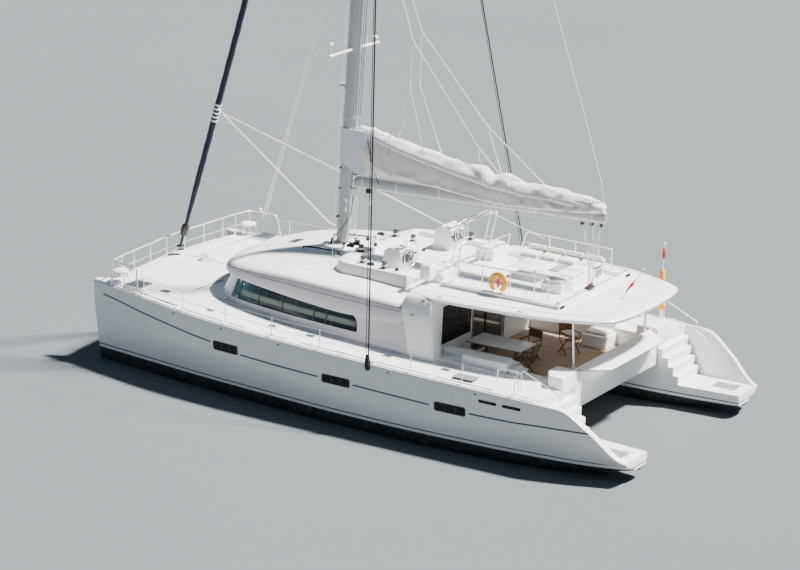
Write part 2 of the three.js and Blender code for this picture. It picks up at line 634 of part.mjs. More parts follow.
// Helm consoles
const WHEEL_CENTRE = [-545, 1550, 4250];
const WHEEL_BACK_X = -423;       // where the wheel's hub meets the boss on the console
const consoleSide = [[-350, PLINTH_TOP_Z], [250, PLINTH_TOP_Z], [150, 4350], [-50, 4480], [-420, 4380]];
const console = join(
  sideForm(consoleSide, 1150, 1950),
  rod([-300, WHEEL_CENTRE[1], WHEEL_CENTRE[2]], [WHEEL_BACK_X + GAP, WHEEL_CENTRE[1], WHEEL_CENTRE[2]], 55, 16),
);
node('helm_console_port', 'gelcoat', console);
node('helm_console_starboard', 'gelcoat', starboard(console));
function wheelForm() {
  const rim = new THREE.TorusGeometry(WHEEL_R, 18, 6, 24).rotateY(Math.PI / 2).translate(...WHEEL_CENTRE);
  const [x, y, z] = WHEEL_CENTRE;
  const spokes = [0, 1, 2].map((i) => {
    const angle = (i * Math.PI) / 3;
    const reach = [0, Math.cos(angle) * WHEEL_R, Math.sin(angle) * WHEEL_R];
    return rod([x, y - reach[1], z - reach[2]], [x, y + reach[1], z + reach[2]], 12, 6);
  });
  return join(rim, ...spokes, rod([x - 30, y, z], [WHEEL_BACK_X, y, z], 40, 12));
}
const wheel = wheelForm();
node('wheel_port', 'steel', wheel);
node('wheel_starboard', 'steel', starboard(wheel));

// Helm seats and sun lounge on the flybridge deck
const FLY_DECK_Z = HARDTOP_TOP_Z + GAP;
const seatProfile = [[-1900, FLY_DECK_Z], [-1350, FLY_DECK_Z], [-1350, 4280], [-1780, 4280], [-1850, 4650],
  [-1950, 4650], [-1900, 4280]];
const helmSeat = sideForm(seatProfile, 1000, 2100);
node('helm_seat_port', 'gelcoat', helmSeat);
node('helm_seat_starboard', 'gelcoat', starboard(helmSeat));
const lounge = join(
  box(-5300, -2700, -1940, -1250, FLY_DECK_Z, 4120),
  box(-5300, -2700, -1940, -1790, FLY_DECK_Z, 4450),
  box(-5300, -4600, -1800, 900, FLY_DECK_Z, 4120),
);
node('flybridge_lounge', 'cushion', lounge);

// Guard rails on the flybridge: two long sides with posts
function guardRail(y) {
  const [front, back, top] = [-2300, -5450, 4520];
  const base = RIM.top + GAP;
  const outer = [
    [front, y, base], [front - 180, y, top], [back, y - 100, top], [back, y - 100, base]];
  const posts = [-3300, -4200, -5000].map((x) => {
    const near = y - (100 * (front - x)) / (front - back);
    return rod([x, near, base], [x, near, top], 13, 6);
  });
  return join(rail(outer, 16), ...posts);
}
pair('guard_rail', 'steel', guardRail(2150), hardtop);

// Bimini frame over the helm: two hoops that lean aft together
const hoop = (x) => rail([
  [x + 330, 950, FLY_DECK_Z], [x + 40, 950, 5250], [x, 860, 5390], [x, -860, 5390],
  [x + 40, -950, 5250], [x + 330, -950, FLY_DECK_Z]], 18);
const bimini = join(
  hoop(-1880), hoop(-2080), rod([-1700, 950, 4500], [-1900, 950, 4500], 14, 6),
  rod([-1700, -950, 4500], [-1900, -950, 4500], 14, 6));
node('bimini_frame', 'steel', clearOf(bimini, hardtop));

// Lifebuoy on the port guard rail
const LIFEBUOY = [-4050, 2172.6, 4250];   // its back rests on the rail
const ring = new THREE.TorusGeometry(265, 60, 8, 24).rotateX(Math.PI / 2).translate(...LIFEBUOY);
node('lifebuoy', 'lifeOrange', ring);

// Front rail and bow seats
const RAIL_Z = 2900;
const deckAt = (x, y) => deckZ(x, y) + GAP;
// x, y, height of the port half of the rail, from the side deck round to the centreline
const PULPIT = [
  [7560, 4110, 2060], [7700, 3980, RAIL_Z], [8330, 3980, RAIL_Z], [8700, 3890, RAIL_Z], [8810, 3200, RAIL_Z],
  [8850, 2500, RAIL_Z], [8920, 1500, RAIL_Z], [8990, 500, RAIL_Z], [8995, 0, RAIL_Z],
];
const PULPIT_POSTS = PULPIT.slice(3).filter(([, y]) => y > 0);
const pulpitHalf = [
  rail(PULPIT, 16), ...PULPIT_POSTS.map(([x, y, z]) => rod([x - 20, y, 2090], [x, y, z], 13, 6)),
];
const pulpit = clearOf(join(...pulpitHalf, ...pulpitHalf.map(starboard)), foredeck, ...hulls);
node('front_rail', 'steel', pulpit);

// Life lines: posts on the gunwale joined by two wires
const LINE_POSTS = [7300, 5600, 3900, 2200, 500, -2600, -4300, -6000];
function lifeline() {
  const foot = (x) => [x, gunwaleAt(x) - 90, deckAt(x, gunwaleAt(x) - 90) - 20];
  const head = (x, up) => [x, gunwaleAt(x) - 90, deckAt(x, gunwaleAt(x) - 90) + up];
  const pieces = [];
  LINE_POSTS.forEach((x, i) => {
    pieces.push(rod(foot(x), head(x, 630), 13, 6));
    if (i > 0) {
      for (const up of [320, 610]) pieces.push(rod(head(LINE_POSTS[i - 1], up), head(x, up), 5, 4));
    }
  });
  return join(...pieces);
}
pair('lifeline', 'steel', lifeline(), ...hulls);

// Hatches in the deck, each a lid on a flat frame
const HATCH = 640;
const HATCH_X = 7870;
const HATCH_Y = 3600;
const hatchBase = 2235;
const frame = box(HATCH_X - 350, HATCH_X + 350, HATCH_Y - 350, HATCH_Y + 350, 2060, hatchBase);
pair('hatch_frame', 'shade', frame, ...hulls, foredeck);
const lid = box(
  HATCH_X - HATCH / 2, HATCH_X + HATCH / 2, HATCH_Y - HATCH / 2, HATCH_Y + HATCH / 2, hatchBase + GAP, hatchBase + 30);
node('hatch_lid_port', 'glass', lid);
node('hatch_lid_starboard', 'glass', starboard(lid));

// Mast: an oval tube with two pairs of spreaders and an antenna bar
const mastX = (z) => MAST_FOOT[0] - (z - MAST_FOOT[2]) * MAST_RAKE;
function ovalRing(z, scale) {
  return Array.from({ length: 12 }, (_, i) => {
    const angle = (i * Math.PI) / 6;
    return [mastX(z) + Math.cos(angle) * MAST_HALF_CHORD * scale, Math.sin(angle) * MAST_HALF_WIDTH * scale, z];
  });
}
const SPREADERS = [[13000, 1500], [20500, 1200]];
const PIN_R = 35;
const LUG_Z = 215;
const LUG_HALF = 20;
function mastForm() {
  const tube = skin([ovalRing(MAST_FOOT[2] + GAP, 1), ovalRing(24000, 1), ovalRing(MAST_TOP_Z, 0.6)]);
  const arms = SPREADERS.flatMap(([z, reach]) => [-1, 1].map((side) => rod(
    [mastX(z) - 50, 0, z], [mastX(z) - 350, side * reach, z + 60], 60, 6, 35)));
  const bar = rod([mastX(9800), -1400, 9800], [mastX(9800), 1400, 9800], 28, 6);
  const tangs = rod([mastX(HOUNDS_Z), -180, HOUNDS_Z], [mastX(HOUNDS_Z), 180, HOUNDS_Z], 60, 8);
  const stayTang = rod([mastX(HOUNDS_Z), 0, HOUNDS_Z], [mastX(HOUNDS_Z) + 260, 0, HOUNDS_Z], 50, 8);
  const lugs = [-1, 1].map((side) => box(
    GOOSENECK[0] - 70, mastX(GOOSENECK[2]), -75, 75,
    GOOSENECK[2] + side * LUG_Z - LUG_HALF, GOOSENECK[2] + side * LUG_Z + LUG_HALF));
  const pinHole = rod([GOOSENECK[0], 0, GOOSENECK[2] - 400], [GOOSENECK[0], 0, GOOSENECK[2] + 400],
    boreOf(PIN_R), PIN_SIDES);
  const whip = rod([mastX(MAST_TOP_Z), 90, MAST_TOP_Z - 100], [mastX(MAST_TOP_Z), 90, MAST_TOP_Z + 1200], 10, 6);
  return cut(join(tube, ...arms, bar, tangs, stayTang, ...lugs, whip), pinHole);
}
const mast = mastForm();
node('mast', 'mastGrey', mast);
const step = box(MAST_FOOT[0] - 330, MAST_FOOT[0] + 330, -240, 240, 3600, MAST_FOOT[2]);
node('mast_step', 'steel', clearOf(step, coachroof, plinth));

// Boom: hung on the gooseneck pin, with the stowed sail in its bag on top
// x, half-width: the nose is narrow, so that it clears the mast as the boom swings
const BOOM_RINGS = [[GOOSENECK[0] + 15, 40], [GOOSENECK[0] - 120, 120], [BOOM_END[0], 120]];
const boomForm = join(
  skin(BOOM_RINGS.map(([x, half]) => {
    const t = (GOOSENECK[0] - x) / (GOOSENECK[0] - BOOM_END[0]);
    const under = mix(5540, 5880, t);
    const top = mix(5860, 6200, t);
    return [[x, -0.9 * half, under + 60], [x, 0, under], [x, 0.9 * half, under + 60], [x, half, top], [x, -half, top]];
  })),
  rod([GOOSENECK[0], 0, GOOSENECK[2] - 245], [GOOSENECK[0], 0, GOOSENECK[2] + 245], PIN_R, PIN_SIDES),
);
node('boom', 'mastGrey', boomForm);
// x, foot z, half-width, top z
const BAG = [
  [2150, 5880, 150, 7330], [900, 5940, 300, 7160], [-800, 6010, 330, 7000], [-2100, 6065, 330, 6870],
  [-2600, 6085, 320, 6720], [-4100, 6150, 300, 6590], [-5900, 6225, 240, 6520],
];
const bag = clearOf(skin(BAG.map(([x, foot, half, top]) => [
  [x, -0.5 * half, foot - 60], [x, 0.5 * half, foot - 60], [x, half, foot + 260], [x, 0.75 * half, mix(foot, top, 0.7)],
  [x, 0.15 * half, top], [x, -0.15 * half, top], [x, -0.75 * half, mix(foot, top, 0.7)], [x, -half, foot + 260],
])), boomForm);
node('sail_bag', 'canvas', bag);

// Headsail furled round the forestay, on its drum
const stayTop = [mastX(HOUNDS_Z) + 330, 0, HOUNDS_Z];
const stayAt = (t) => FORESTAY_FOOT.map((value, i) => mix(value, stayTop[i], t));
function stayBow(t) {
  const [x, y, z] = stayAt(t);
  return [x - 350 * 4 * t * (1 - t) * 0.3, y, z - 60 * 4 * t * (1 - t)];
}
const furled = join(
  rod(FORESTAY_FOOT, stayAt(0.02), 40, 8),
  rail([stayBow(0.012), stayBow(0.2), stayBow(0.45), stayBow(0.7), stayBow(0.93)], 105, 10),
  rod(stayBow(0.92), stayTop, 20, 6),
);
node('furled_headsail', 'sailNavy', furled);
const drum = join(
  rod([8800, 0, 2200], [8785, 0, 2480], 60, 10),
  rod([8790, 0, 2400], [8780, 0, FORESTAY_FOOT[2] - GAP], 130, 12),
);
node('furler_drum', 'steel', clearOf(drum, foredeck, furled));

// Cap shrouds from chainplates to hounds
const shroudTop = [mastX(HOUNDS_Z), 180 + 14, HOUNDS_Z];
const chainplate = box(CHAINPLATE[0] - 130, CHAINPLATE[0] + 130, 4820, 4940, 1780, CHAINPLATE[2]);
pair('chainplate', 'steel', chainplate, ...hulls);
pair('shroud', 'black', rod(CHAINPLATE, shroudTop, 14, 6), mast, chainplate, starboard(chainplate));

for (const mesh of boat.children) mesh.geometry.translate(0, 0, FLOAT_Z);

export default boat;
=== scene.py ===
import math

import bmesh
import bpy
from mathutils import Matrix, Vector, noise


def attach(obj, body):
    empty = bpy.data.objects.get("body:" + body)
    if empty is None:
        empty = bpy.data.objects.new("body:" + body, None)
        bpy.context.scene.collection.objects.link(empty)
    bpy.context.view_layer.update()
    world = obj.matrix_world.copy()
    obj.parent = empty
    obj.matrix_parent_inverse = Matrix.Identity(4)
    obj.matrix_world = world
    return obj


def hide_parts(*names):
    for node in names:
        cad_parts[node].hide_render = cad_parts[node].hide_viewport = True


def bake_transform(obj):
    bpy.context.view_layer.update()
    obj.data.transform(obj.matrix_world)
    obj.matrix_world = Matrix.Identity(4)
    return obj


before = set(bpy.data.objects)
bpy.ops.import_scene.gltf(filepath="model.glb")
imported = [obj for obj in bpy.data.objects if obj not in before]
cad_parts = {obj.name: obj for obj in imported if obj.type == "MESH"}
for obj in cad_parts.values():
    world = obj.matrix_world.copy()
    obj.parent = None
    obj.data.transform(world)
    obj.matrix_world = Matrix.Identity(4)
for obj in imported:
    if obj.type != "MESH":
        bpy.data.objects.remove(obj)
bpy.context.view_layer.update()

# Looks of a flybridge sailing catamaran, afloat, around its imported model. Lengths are in metres.
# +X is forward, +Y is port and +Z is up. Tables measure heights from the boot line painted round
# the hulls, and every finished mesh is lifted by FLOAT_Z, so that z 0 is the waterline.

bl_info = {
    "name": "Sailing catamaran",
    "version": (1, 0, 0),
    "blender": (4, 5, 0),
    "location": "View3D > Sidebar > Boat",
    "description": "Builds the looks of a flybridge sailing catamaran around its packed model",
    "category": "Add Mesh",
}

FLOAT_Z = 0.35
SHARP_ANGLE = math.radians(35)
CUSHION_ANGLE = math.radians(80)
MERGE = 1e-5
WATER_Z = 0.12
DECK_CROWN = 0.08
SOLE_Z = 1.3
PLATFORM_Z = 0.38
BULKHEAD_X = -2.4
HARDTOP_TOP_Z = 3.72
RAIL_Z = 2.9
MAST_FOOT = (2.76, 0, HARDTOP_TOP_Z)
MAST_RAKE = math.tan(math.radians(1.2))
HOUNDS_Z = 27.0
FORESTAY_FOOT = (8.78, 0, 2.56)
CHAINPLATE_X = -1.27
SIDES = (("port", 1), ("starboard", -1))


def mix(a, b, t):
    return a + (b - a) * t


def lie(t, low=0.0, high=1.0):
    return max(low, min(high, t))


class Table:
    """Rows of numbers with named columns, read at any place by a smooth curve that keeps to the rows."""

    def __init__(self, columns, rows):
        self.names = columns.split()
        self.rows = sorted(rows)
        places = [row[0] for row in self.rows]
        self.slopes = []
        for column in range(len(self.names)):
            values = [row[column] for row in self.rows]
            steps = [(values[i + 1] - values[i]) / (places[i + 1] - places[i])
                     for i in range(len(places) - 1)]
            slopes = [steps[0]]
            for before, after in zip(steps, steps[1:]):
                slopes.append(0.0 if before * after <= 0 else 2 * before * after / (before + after))
            self.slopes.append(slopes + [steps[-1]])

    def read(self, place, name):
        column = self.names.index(name)
        rows = self.rows
        if place <= rows[0][0]:
            return rows[0][column]
        if place >= rows[-1][0]:
            return rows[-1][column]
        i = max(k for k in range(len(rows) - 1) if rows[k][0] <= place)
        width = rows[i + 1][0] - rows[i][0]
        t = (place - rows[i][0]) / width
        slopes = self.slopes[column]
        return (rows[i][column] * (1 + 2 * t) * (1 - t) ** 2 + slopes[i] * width * t * (1 - t) ** 2
                + rows[i + 1][column] * t * t * (3 - 2 * t) - slopes[i + 1] * width * t * t * (1 - t))


STATIONS = Table("x sheer gunwale water inner_deck inner_water keel rake", [
    (9.44, 2.12, 3.79, 3.77, 3.71, 3.73, -0.42, 0.27), (9.25, 2.118, 3.84, 3.79, 3.65, 3.69, -0.62, 0.24),
    (8.4, 2.104, 3.985, 3.9, 3.26, 3.59, -0.86, 0.13), (7.0, 2.068, 4.33, 4.08, 3.0, 3.4, -1.0, 0.0),
    (4.8, 2.002, 4.76, 4.37, 2.8, 3.14, -1.08, 0.0), (2.4, 1.932, 4.95, 4.6, 2.8, 2.94, -1.11, 0.0),
    (-0.1, 1.868, 5.0, 4.79, 2.8, 2.83, -1.11, 0.0), (-2.5, 1.804, 5.0, 4.85, 2.8, 2.81, -1.06, 0.0),
    (-5.0, 1.762, 5.0, 4.76, 2.8, 2.86, -0.9, 0.0), (-6.8, 1.722, 4.985, 4.6, 2.8, 2.92, -0.62, 0.0),
    (-7.46, 1.702, 4.975, 4.52, 2.96, 2.97, -0.46, 0.0), (-8.4, 1.15, 4.84, 4.34, 3.04, 3.06, -0.24, 0.0),
    (-9.28, 0.44, 4.6, 4.06, 3.12, 3.16, -0.06, 0.0), (-9.45, 0.392, 4.54, 3.98, 3.15, 3.2, -0.02, 0.0),
])
ROOF = Table("x foot brow foot_z brow_z crown_z", [
    (-2.4, 3.6, 3.48, 3.06, 3.18, 3.6), (-1.3, 3.59, 3.47, 2.76, 3.23, 3.6),
    (0.6, 3.53, 3.42, 2.68, 3.28, 3.7), (2.2, 3.4, 3.29, 2.75, 3.29, 3.68),
    (3.7, 3.15, 3.02, 2.82, 3.22, 3.56), (4.9, 2.78, 2.62, 2.85, 3.11, 3.38),
    (5.6, 2.2, 2.02, 2.85, 3.01, 3.21), (6.0, 1.35, 1.2, 2.84, 2.93, 3.05),
    (6.14, 0.75, 0.62, 2.83, 2.89, 2.97), (6.2, 0.12, 0.08, 2.83, 2.86, 2.88),
])
HOUSE = Table("x low high", [
    (-2.4, 3.76, 3.56), (-1.0, 3.74, 3.53), (0.6, 3.62, 3.43), (2.2, 3.43, 3.27), (3.7, 3.19, 3.01),
    (4.8, 2.94, 2.68), (5.6, 2.48, 2.12), (6.15, 1.56, 1.25), (6.38, 0.0, 0.0),
])
HARDTOP = Table("x half", [
    (-7.9, 0.0), (-7.89, 0.5), (-7.86, 1.2), (-7.64, 2.2), (-6.7, 2.75), (-5.6, 3.14), (-4.2, 3.3),
    (-2.3, 3.42), (-1.5, 3.25),
])


def hull_at(x, name):
    return STATIONS.read(x, name)


def deck_z(x, y):
    """Height of the deck at any place between the gunwale and the inboard edge."""
    gunwale = hull_at(x, "gunwale")
    inward = (gunwale - abs(y)) / (gunwale - hull_at(x, "inner_deck"))
    return hull_at(x, "sheer") + DECK_CROWN * lie(inward)


def foredeck_z(x, y):
    """Height of the crowned deck between the hulls, or of the side deck beyond it."""
    inner = hull_at(x, "inner_deck")
    return deck_z(x, y) if abs(y) > inner else deck_z(x, inner) + 0.06 * (1 - (y / inner) ** 2)


def roof_z(x, y):
    """Height of the coachroof's top at any place."""
    t = lie(abs(y) / ROOF.read(x, "brow"))
    return mix(ROOF.read(x, "brow_z"), ROOF.read(x, "crown_z"), math.sqrt(1 - t * t))


def topside_y(x, z):
    """How far out the hull's outer side lies, at a place on its topsides."""
    station = x
    for _ in range(3):
        sheer = hull_at(station, "sheer")
        station = x + hull_at(station, "rake") * (lie((sheer - z) / sheer)) ** 1.4
    sheer = hull_at(station, "sheer")
    t = lie((z - WATER_Z) / (sheer - WATER_Z))
    return mix(hull_at(station, "water"), hull_at(station, "gunwale"), 2 * t - t * t)


def mast_x(z):
    return MAST_FOOT[0] - (z - MAST_FOOT[2]) * MAST_RAKE


def stay_bow(t):
    """A point on the forestay, which bows a little under the furled sail's weight."""
    top = (mast_x(HOUNDS_Z) + 0.33, 0, HOUNDS_Z)
    x, y, z = (mix(a, b, t) for a, b in zip(FORESTAY_FOOT, top))
    bow = 4 * t * (1 - t)
    return Vector((x - 0.105 * bow, y, z - 0.06 * bow))


# Ways of making shapes: each returns a new bmesh with closed, merged faces

def close_up(bm, cap=True):
    bmesh.ops.remove_doubles(bm, verts=bm.verts, dist=MERGE)
    bmesh.ops.dissolve_degenerate(bm, edges=bm.edges, dist=MERGE)
    if cap:
        edges = [edge for edge in bm.edges if edge.is_boundary]
        bmesh.ops.holes_fill(bm, edges=edges, sides=0)
    bmesh.ops.recalc_face_normals(bm, faces=bm.faces)
    return bm


def round_edges(bm, radius, segments=2, angle=30):
    """Rounds the edges that turn by more than an angle."""
    if radius <= 0:
        return bm
    edges = [edge for edge in bm.edges if edge.is_manifold and edge.calc_face_angle() > math.radians(angle)]
    bmesh.ops.bevel(bm, geom=edges, offset=radius, offset_type="OFFSET", segments=segments, profile=0.5,
                    affect="EDGES", material=-1, clamp_overlap=True)
    return bm


def box_of(x0, x1, y0, y1, z0, z1, radius=0.01, segments=2):
    bm = bmesh.new()
    middle = Vector(((x0 + x1) / 2, (y0 + y1) / 2, (z0 + z1) / 2))
    size = Matrix.Diagonal((x1 - x0, y1 - y0, z1 - z0, 1))
    bmesh.ops.create_cube(bm, size=1, matrix=Matrix.Translation(middle) @ size)
    return round_edges(bm, radius, segments)


def turns_of(count):
    """Angles that share out a full turn."""
    return [2 * math.pi * i / count for i in range(count)]


def turn_to(direction):
    return Vector(direction).to_track_quat("Z", "Y").to_matrix().to_4x4()


def rod_of(start, end, radius, end_radius=None, sides=16):
    bm = bmesh.new()
    along = Vector(end) - Vector(start)
    place = Matrix.Translation((Vector(start) + Vector(end)) / 2) @ turn_to(along)
    end_radius = radius if end_radius is None else end_radius
    bmesh.ops.create_cone(bm, cap_ends=True, segments=sides, radius1=radius, radius2=end_radius,
                          depth=along.length, matrix=place)
    return bm


def ball_of(centre, radius, squash=(1, 1, 1), segments=16):
    bm = bmesh.new()
    place = Matrix.Translation(centre) @ Matrix.Diagonal((*squash, 1))
    bmesh.ops.create_uvsphere(bm, u_segments=segments, v_segments=segments // 2, radius=radius, matrix=place)
    return bm


def loft_of(rows, closed=True, cap=True):
    """A skin over rows of points, each row with the same count. Closed rows are rings."""
    rows = [[Vector(point) for point in row] for row in rows]
    if closed:
        rows = [row + [row[0]] for row in rows]
    bm = bmesh.new()
    bmesh.ops.create_grid(bm, x_segments=len(rows[0]) - 1, y_segments=len(rows) - 1, size=1)
    for vertex, point in zip(bm.verts, (point for row in rows for point in row)):
        vertex.co = point
    return close_up(bm, cap)


def softened(points, bend):
    """The path with each corner turned in a curve that starts and ends bend away from it."""
    points = [Vector(point) for point in points]
    path = [points[0]]
    for before, corner, after in zip(points, points[1:], points[2:]):
        reach = min(bend, (before - corner).length * 0.45, (after - corner).length * 0.45)
        start = corner + (before - corner).normalized() * reach
        end = corner + (after - corner).normalized() * reach
        for step in range(5):
            t = step / 4
            path.append(start.lerp(corner, t).lerp(corner.lerp(end, t), t))
    return path + [points[-1]]


def tube_of(points, radius, sides=10, bend=0.0, closed=False):
    """A round bar along a path; radius is a number, or a function of the share of the way along."""
    path = softened(points, bend) if bend else [Vector(point) for point in points]
    rows = []
    side = None
    count = len(path)
    for i, point in enumerate(path):
        before = path[(i - 1) % count] if closed or i else point
        after = path[(i + 1) % count] if closed or i < count - 1 else point
        along = (after - before).normalized()
        side = along.orthogonal() if side is None else side - along * side.dot(along)
        side.normalize()
        up = along.cross(side)
        here = radius(i / (count - 1)) if callable(radius) else radius
        rows.append([point + (side * math.cos(a) + up * math.sin(a)) * here for a in turns_of(sides)])
    if closed:
        rows.append(rows[0])
    return loft_of(rows, cap=not closed)


def ring_of(centre, axis, radius, thickness, sides=12, steps=32):
    """A ring of round section, by turning a circle about the axis."""
    bm = bmesh.new()
    place = Matrix.Translation((radius, 0, 0)) @ Matrix.Rotation(math.pi / 2, 4, "X")
    made = bmesh.ops.create_circle(bm, segments=sides, radius=thickness, matrix=place)
    edges = list({edge for vertex in made["verts"] for edge in vertex.link_edges})
    bmesh.ops.spin(bm, geom=made["verts"] + edges, cent=(0, 0, 0), axis=(0, 0, 1), angle=2 * math.pi,
                   steps=steps, use_merge=True)
    close_up(bm, cap=False)
    bmesh.ops.transform(bm, matrix=Matrix.Translation(centre) @ turn_to(axis), verts=bm.verts)
    return bm


def lathe_of(profile, foot, axis=(0, 0, 1), steps=24):
    """A turned form: profile rows are (distance along the axis, radius)."""
    bm = bmesh.new()
    verts = [bm.verts.new((radius, 0, height)) for height, radius in profile]
    edges = [bm.edges.new(ends) for ends in zip(verts, verts[1:])]
    bmesh.ops.spin(bm, geom=verts + edges, cent=(0, 0, 0), axis=(0, 0, 1), angle=2 * math.pi, steps=steps,
                   use_merge=True)
    close_up(bm)
    bmesh.ops.transform(bm, matrix=Matrix.Translation(foot) @ turn_to(axis), verts=bm.verts)
    return bm


def plate_of(outline, depth, radius=0.0, segments=2):
    """A plate drawn out from a flat outline of points by a vector."""
    bm = bmesh.new()
    face = bm.faces.new([bm.verts.new(point) for point in outline])
    made = bmesh.ops.extrude_face_region(bm, geom=[face])
    verts = [item for item in made["geom"] if isinstance(item, bmesh.types.BMVert)]
    bmesh.ops.translate(bm, vec=depth, verts=verts)
    bmesh.ops.recalc_face_normals(bm, faces=bm.faces)
    return round_edges(bm, radius, segments)


def panel_of(rows, thickness):
    """A thin panel whose outer face runs over rows of points."""
    bm = loft_of(rows, closed=False, cap=False)
    bmesh.ops.solidify(bm, geom=bm.faces, thickness=thickness)
    bmesh.ops.recalc_face_normals(bm, faces=bm.faces)
    return bm


def sheet_of(point_at, across, along, thickness):
    """A thin panel laid over a surface: point_at(u, v) gives its outer face for u, v from 0 to 1."""
    rows = [[point_at(i / across, j / along) for i in range(across + 1)] for j in range(along + 1)]
    return panel_of(rows, thickness)


def scratch(bm, name="scratch"):
    mesh = bpy.data.meshes.new(name)
    bm.to_mesh(mesh)
    bm.free()
    item = bpy.data.objects.new(name, mesh)
    bpy.context.scene.collection.objects.link(item)
    return item


def discard(*items):
    for item in items:
        mesh = item.data
        bpy.data.objects.remove(item)
        bpy.data.meshes.remove(mesh)


def settled(item):
    """The item's mesh with its modifiers in it, as a bmesh."""
    bpy.context.view_layer.update()
    mesh = bpy.data.meshes.new_from_object(item.evaluated_get(bpy.context.evaluated_depsgraph_get()))
    bm = bmesh.new()
    bm.from_mesh(mesh)
    bpy.data.meshes.remove(mesh)
    return bm


def carved(bm, tool, operation="DIFFERENCE"):
    """The solid with the tool cut out of it, or what the two share."""
    body = scratch(bm)
    other = scratch(tool)
    modifier = body.modifiers.new("carve", "BOOLEAN")
    modifier.operation = operation
    modifier.solver = "EXACT"
    modifier.object = other
    result = settled(body)
    discard(body, other)
    bmesh.ops.remove_doubles(result, verts=result.verts, dist=MERGE)
    return result


def node_copy(name):
    """A merged copy of a CAD node's mesh, with flat faces made whole again, heights from the boot line."""
    bm = bmesh.new()
    bm.from_mesh(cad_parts[name].data)
    bmesh.ops.remove_doubles(bm, verts=bm.verts, dist=MERGE)
    bmesh.ops.dissolve_limit(bm, angle_limit=math.radians(1), verts=bm.verts, edges=bm.edges)
    bmesh.ops.translate(bm, vec=(0, 0, -FLOAT_Z), verts=bm.verts)
    return bm


# the slot name of the pieces of a material, where it isn't the material's own name; Piece.done looks it up
# and uses it no further
SLOTS = {
    "topsides": "gelcoat", "nonskid": "gelcoat", "headliner_shade": "gelcoat", "house_wall": "band_grey",
    "stripe_dark": "dark_trim", "shade_dark": "dark_trim", "rubber": "dark_trim",
    "winch_black": "dark_trim", "hatch_glass": "glass", "dark_glass": "glass", "teak": "interior",
    "joinery": "interior", "chair_brown": "interior", "sailcloth": "canvas", "collar_painted_shade": "canvas",
    "rope_grey": "canvas", "rope_white": None, "rope_black": None, "life_red": None, "ensign_red": None,
    "chair_cloth": None,
}


class Piece:
    """A piece in the making. Parts are added to it, then it is finished as one object."""

    def __init__(self, *parts):
        self.bm = bmesh.new()
        self.add(*parts)

    def add(self, *parts):
        for part in parts:
            mesh = bpy.data.meshes.new("part")
            part.to_mesh(mesh)
            part.free()
            self.bm.from_mesh(mesh)
            bpy.data.meshes.remove(mesh)
        return self

    def mirror(self):
        """Adds the same parts on the other side of the centreline."""
        mesh = bpy.data.meshes.new("other")
        self.bm.to_mesh(mesh)
        mesh.transform(Matrix.Diagonal((1, -1, 1, 1)))
        mesh.flip_normals()
        self.bm.from_mesh(mesh)
        bpy.data.meshes.remove(mesh)
        return self

    def done(self, name, material, node="", body="root", side=1, sharp=SHARP_ANGLE, slot=""):
        """Finishes the piece, which takes the place of a CAD node if one is named."""
        bm = self.bm.copy()
        bmesh.ops.scale(bm, vec=(1, side, 1), verts=bm.verts)
        if side < 0:
            bmesh.ops.reverse_faces(bm, faces=bm.faces)
        bmesh.ops.translate(bm, vec=(0, 0, FLOAT_Z), verts=bm.verts)
        for face in bm.faces:
            face.smooth = True
        for edge in bm.edges:
            edge.smooth = edge.is_manifold and edge.calc_face_angle() < sharp
        item = scratch(bm, name)
        item.data.materials.append(MATERIALS[material])
        if body:
            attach(item, body)
        slot = slot or SLOTS.get(material, material)
        if node:
            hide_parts(node)
        return item

    def pair(self, name, material, node="", body="root", sharp=SHARP_ANGLE):
        """Finishes the piece on port and its mirror image on starboard; {} stands for the side."""
        return [self.done(name.format(word), material, node.format(word), body.format(word), side, sharp)
                for word, side in SIDES]


# Materials

MATERIALS = {}


class Signal:
    """A socket of a material's nodes. Arithmetic on it adds Math nodes."""

    def __init__(self, paint, socket):
        self.paint = paint
        self.socket = socket

    def math(self, operation, *values):
        return self.paint.node("ShaderNodeMath", {"operation": operation}, dict(enumerate(values)))

    def __add__(self, other):
        return self.math("ADD", self, other)

    def __sub__(self, other):
        return self.math("SUBTRACT", self, other)

    def __rsub__(self, other):
        return self.math("SUBTRACT", other, self)

    def __mul__(self, other):
        return self.math("MULTIPLY", self, other)

    __radd__ = __add__
    __rmul__ = __mul__

    def over(self, limit):
        return self.math("GREATER_THAN", self, limit)

    def under(self, limit):
        return self.math("LESS_THAN", self, limit)

    def sine(self):
        return self.math("SINE", self)

    def size(self):
        return self.math("ABSOLUTE", self)

    def wrap(self, length):
        return self.math("MODULO", self + 1000 * length, length)

    def ramp(self, low, high):
        return self.paint.node("ShaderNodeMapRange", {"interpolation_type": "SMOOTHSTEP"},
                               {"Value": self, "From Min": low, "From Max": high})


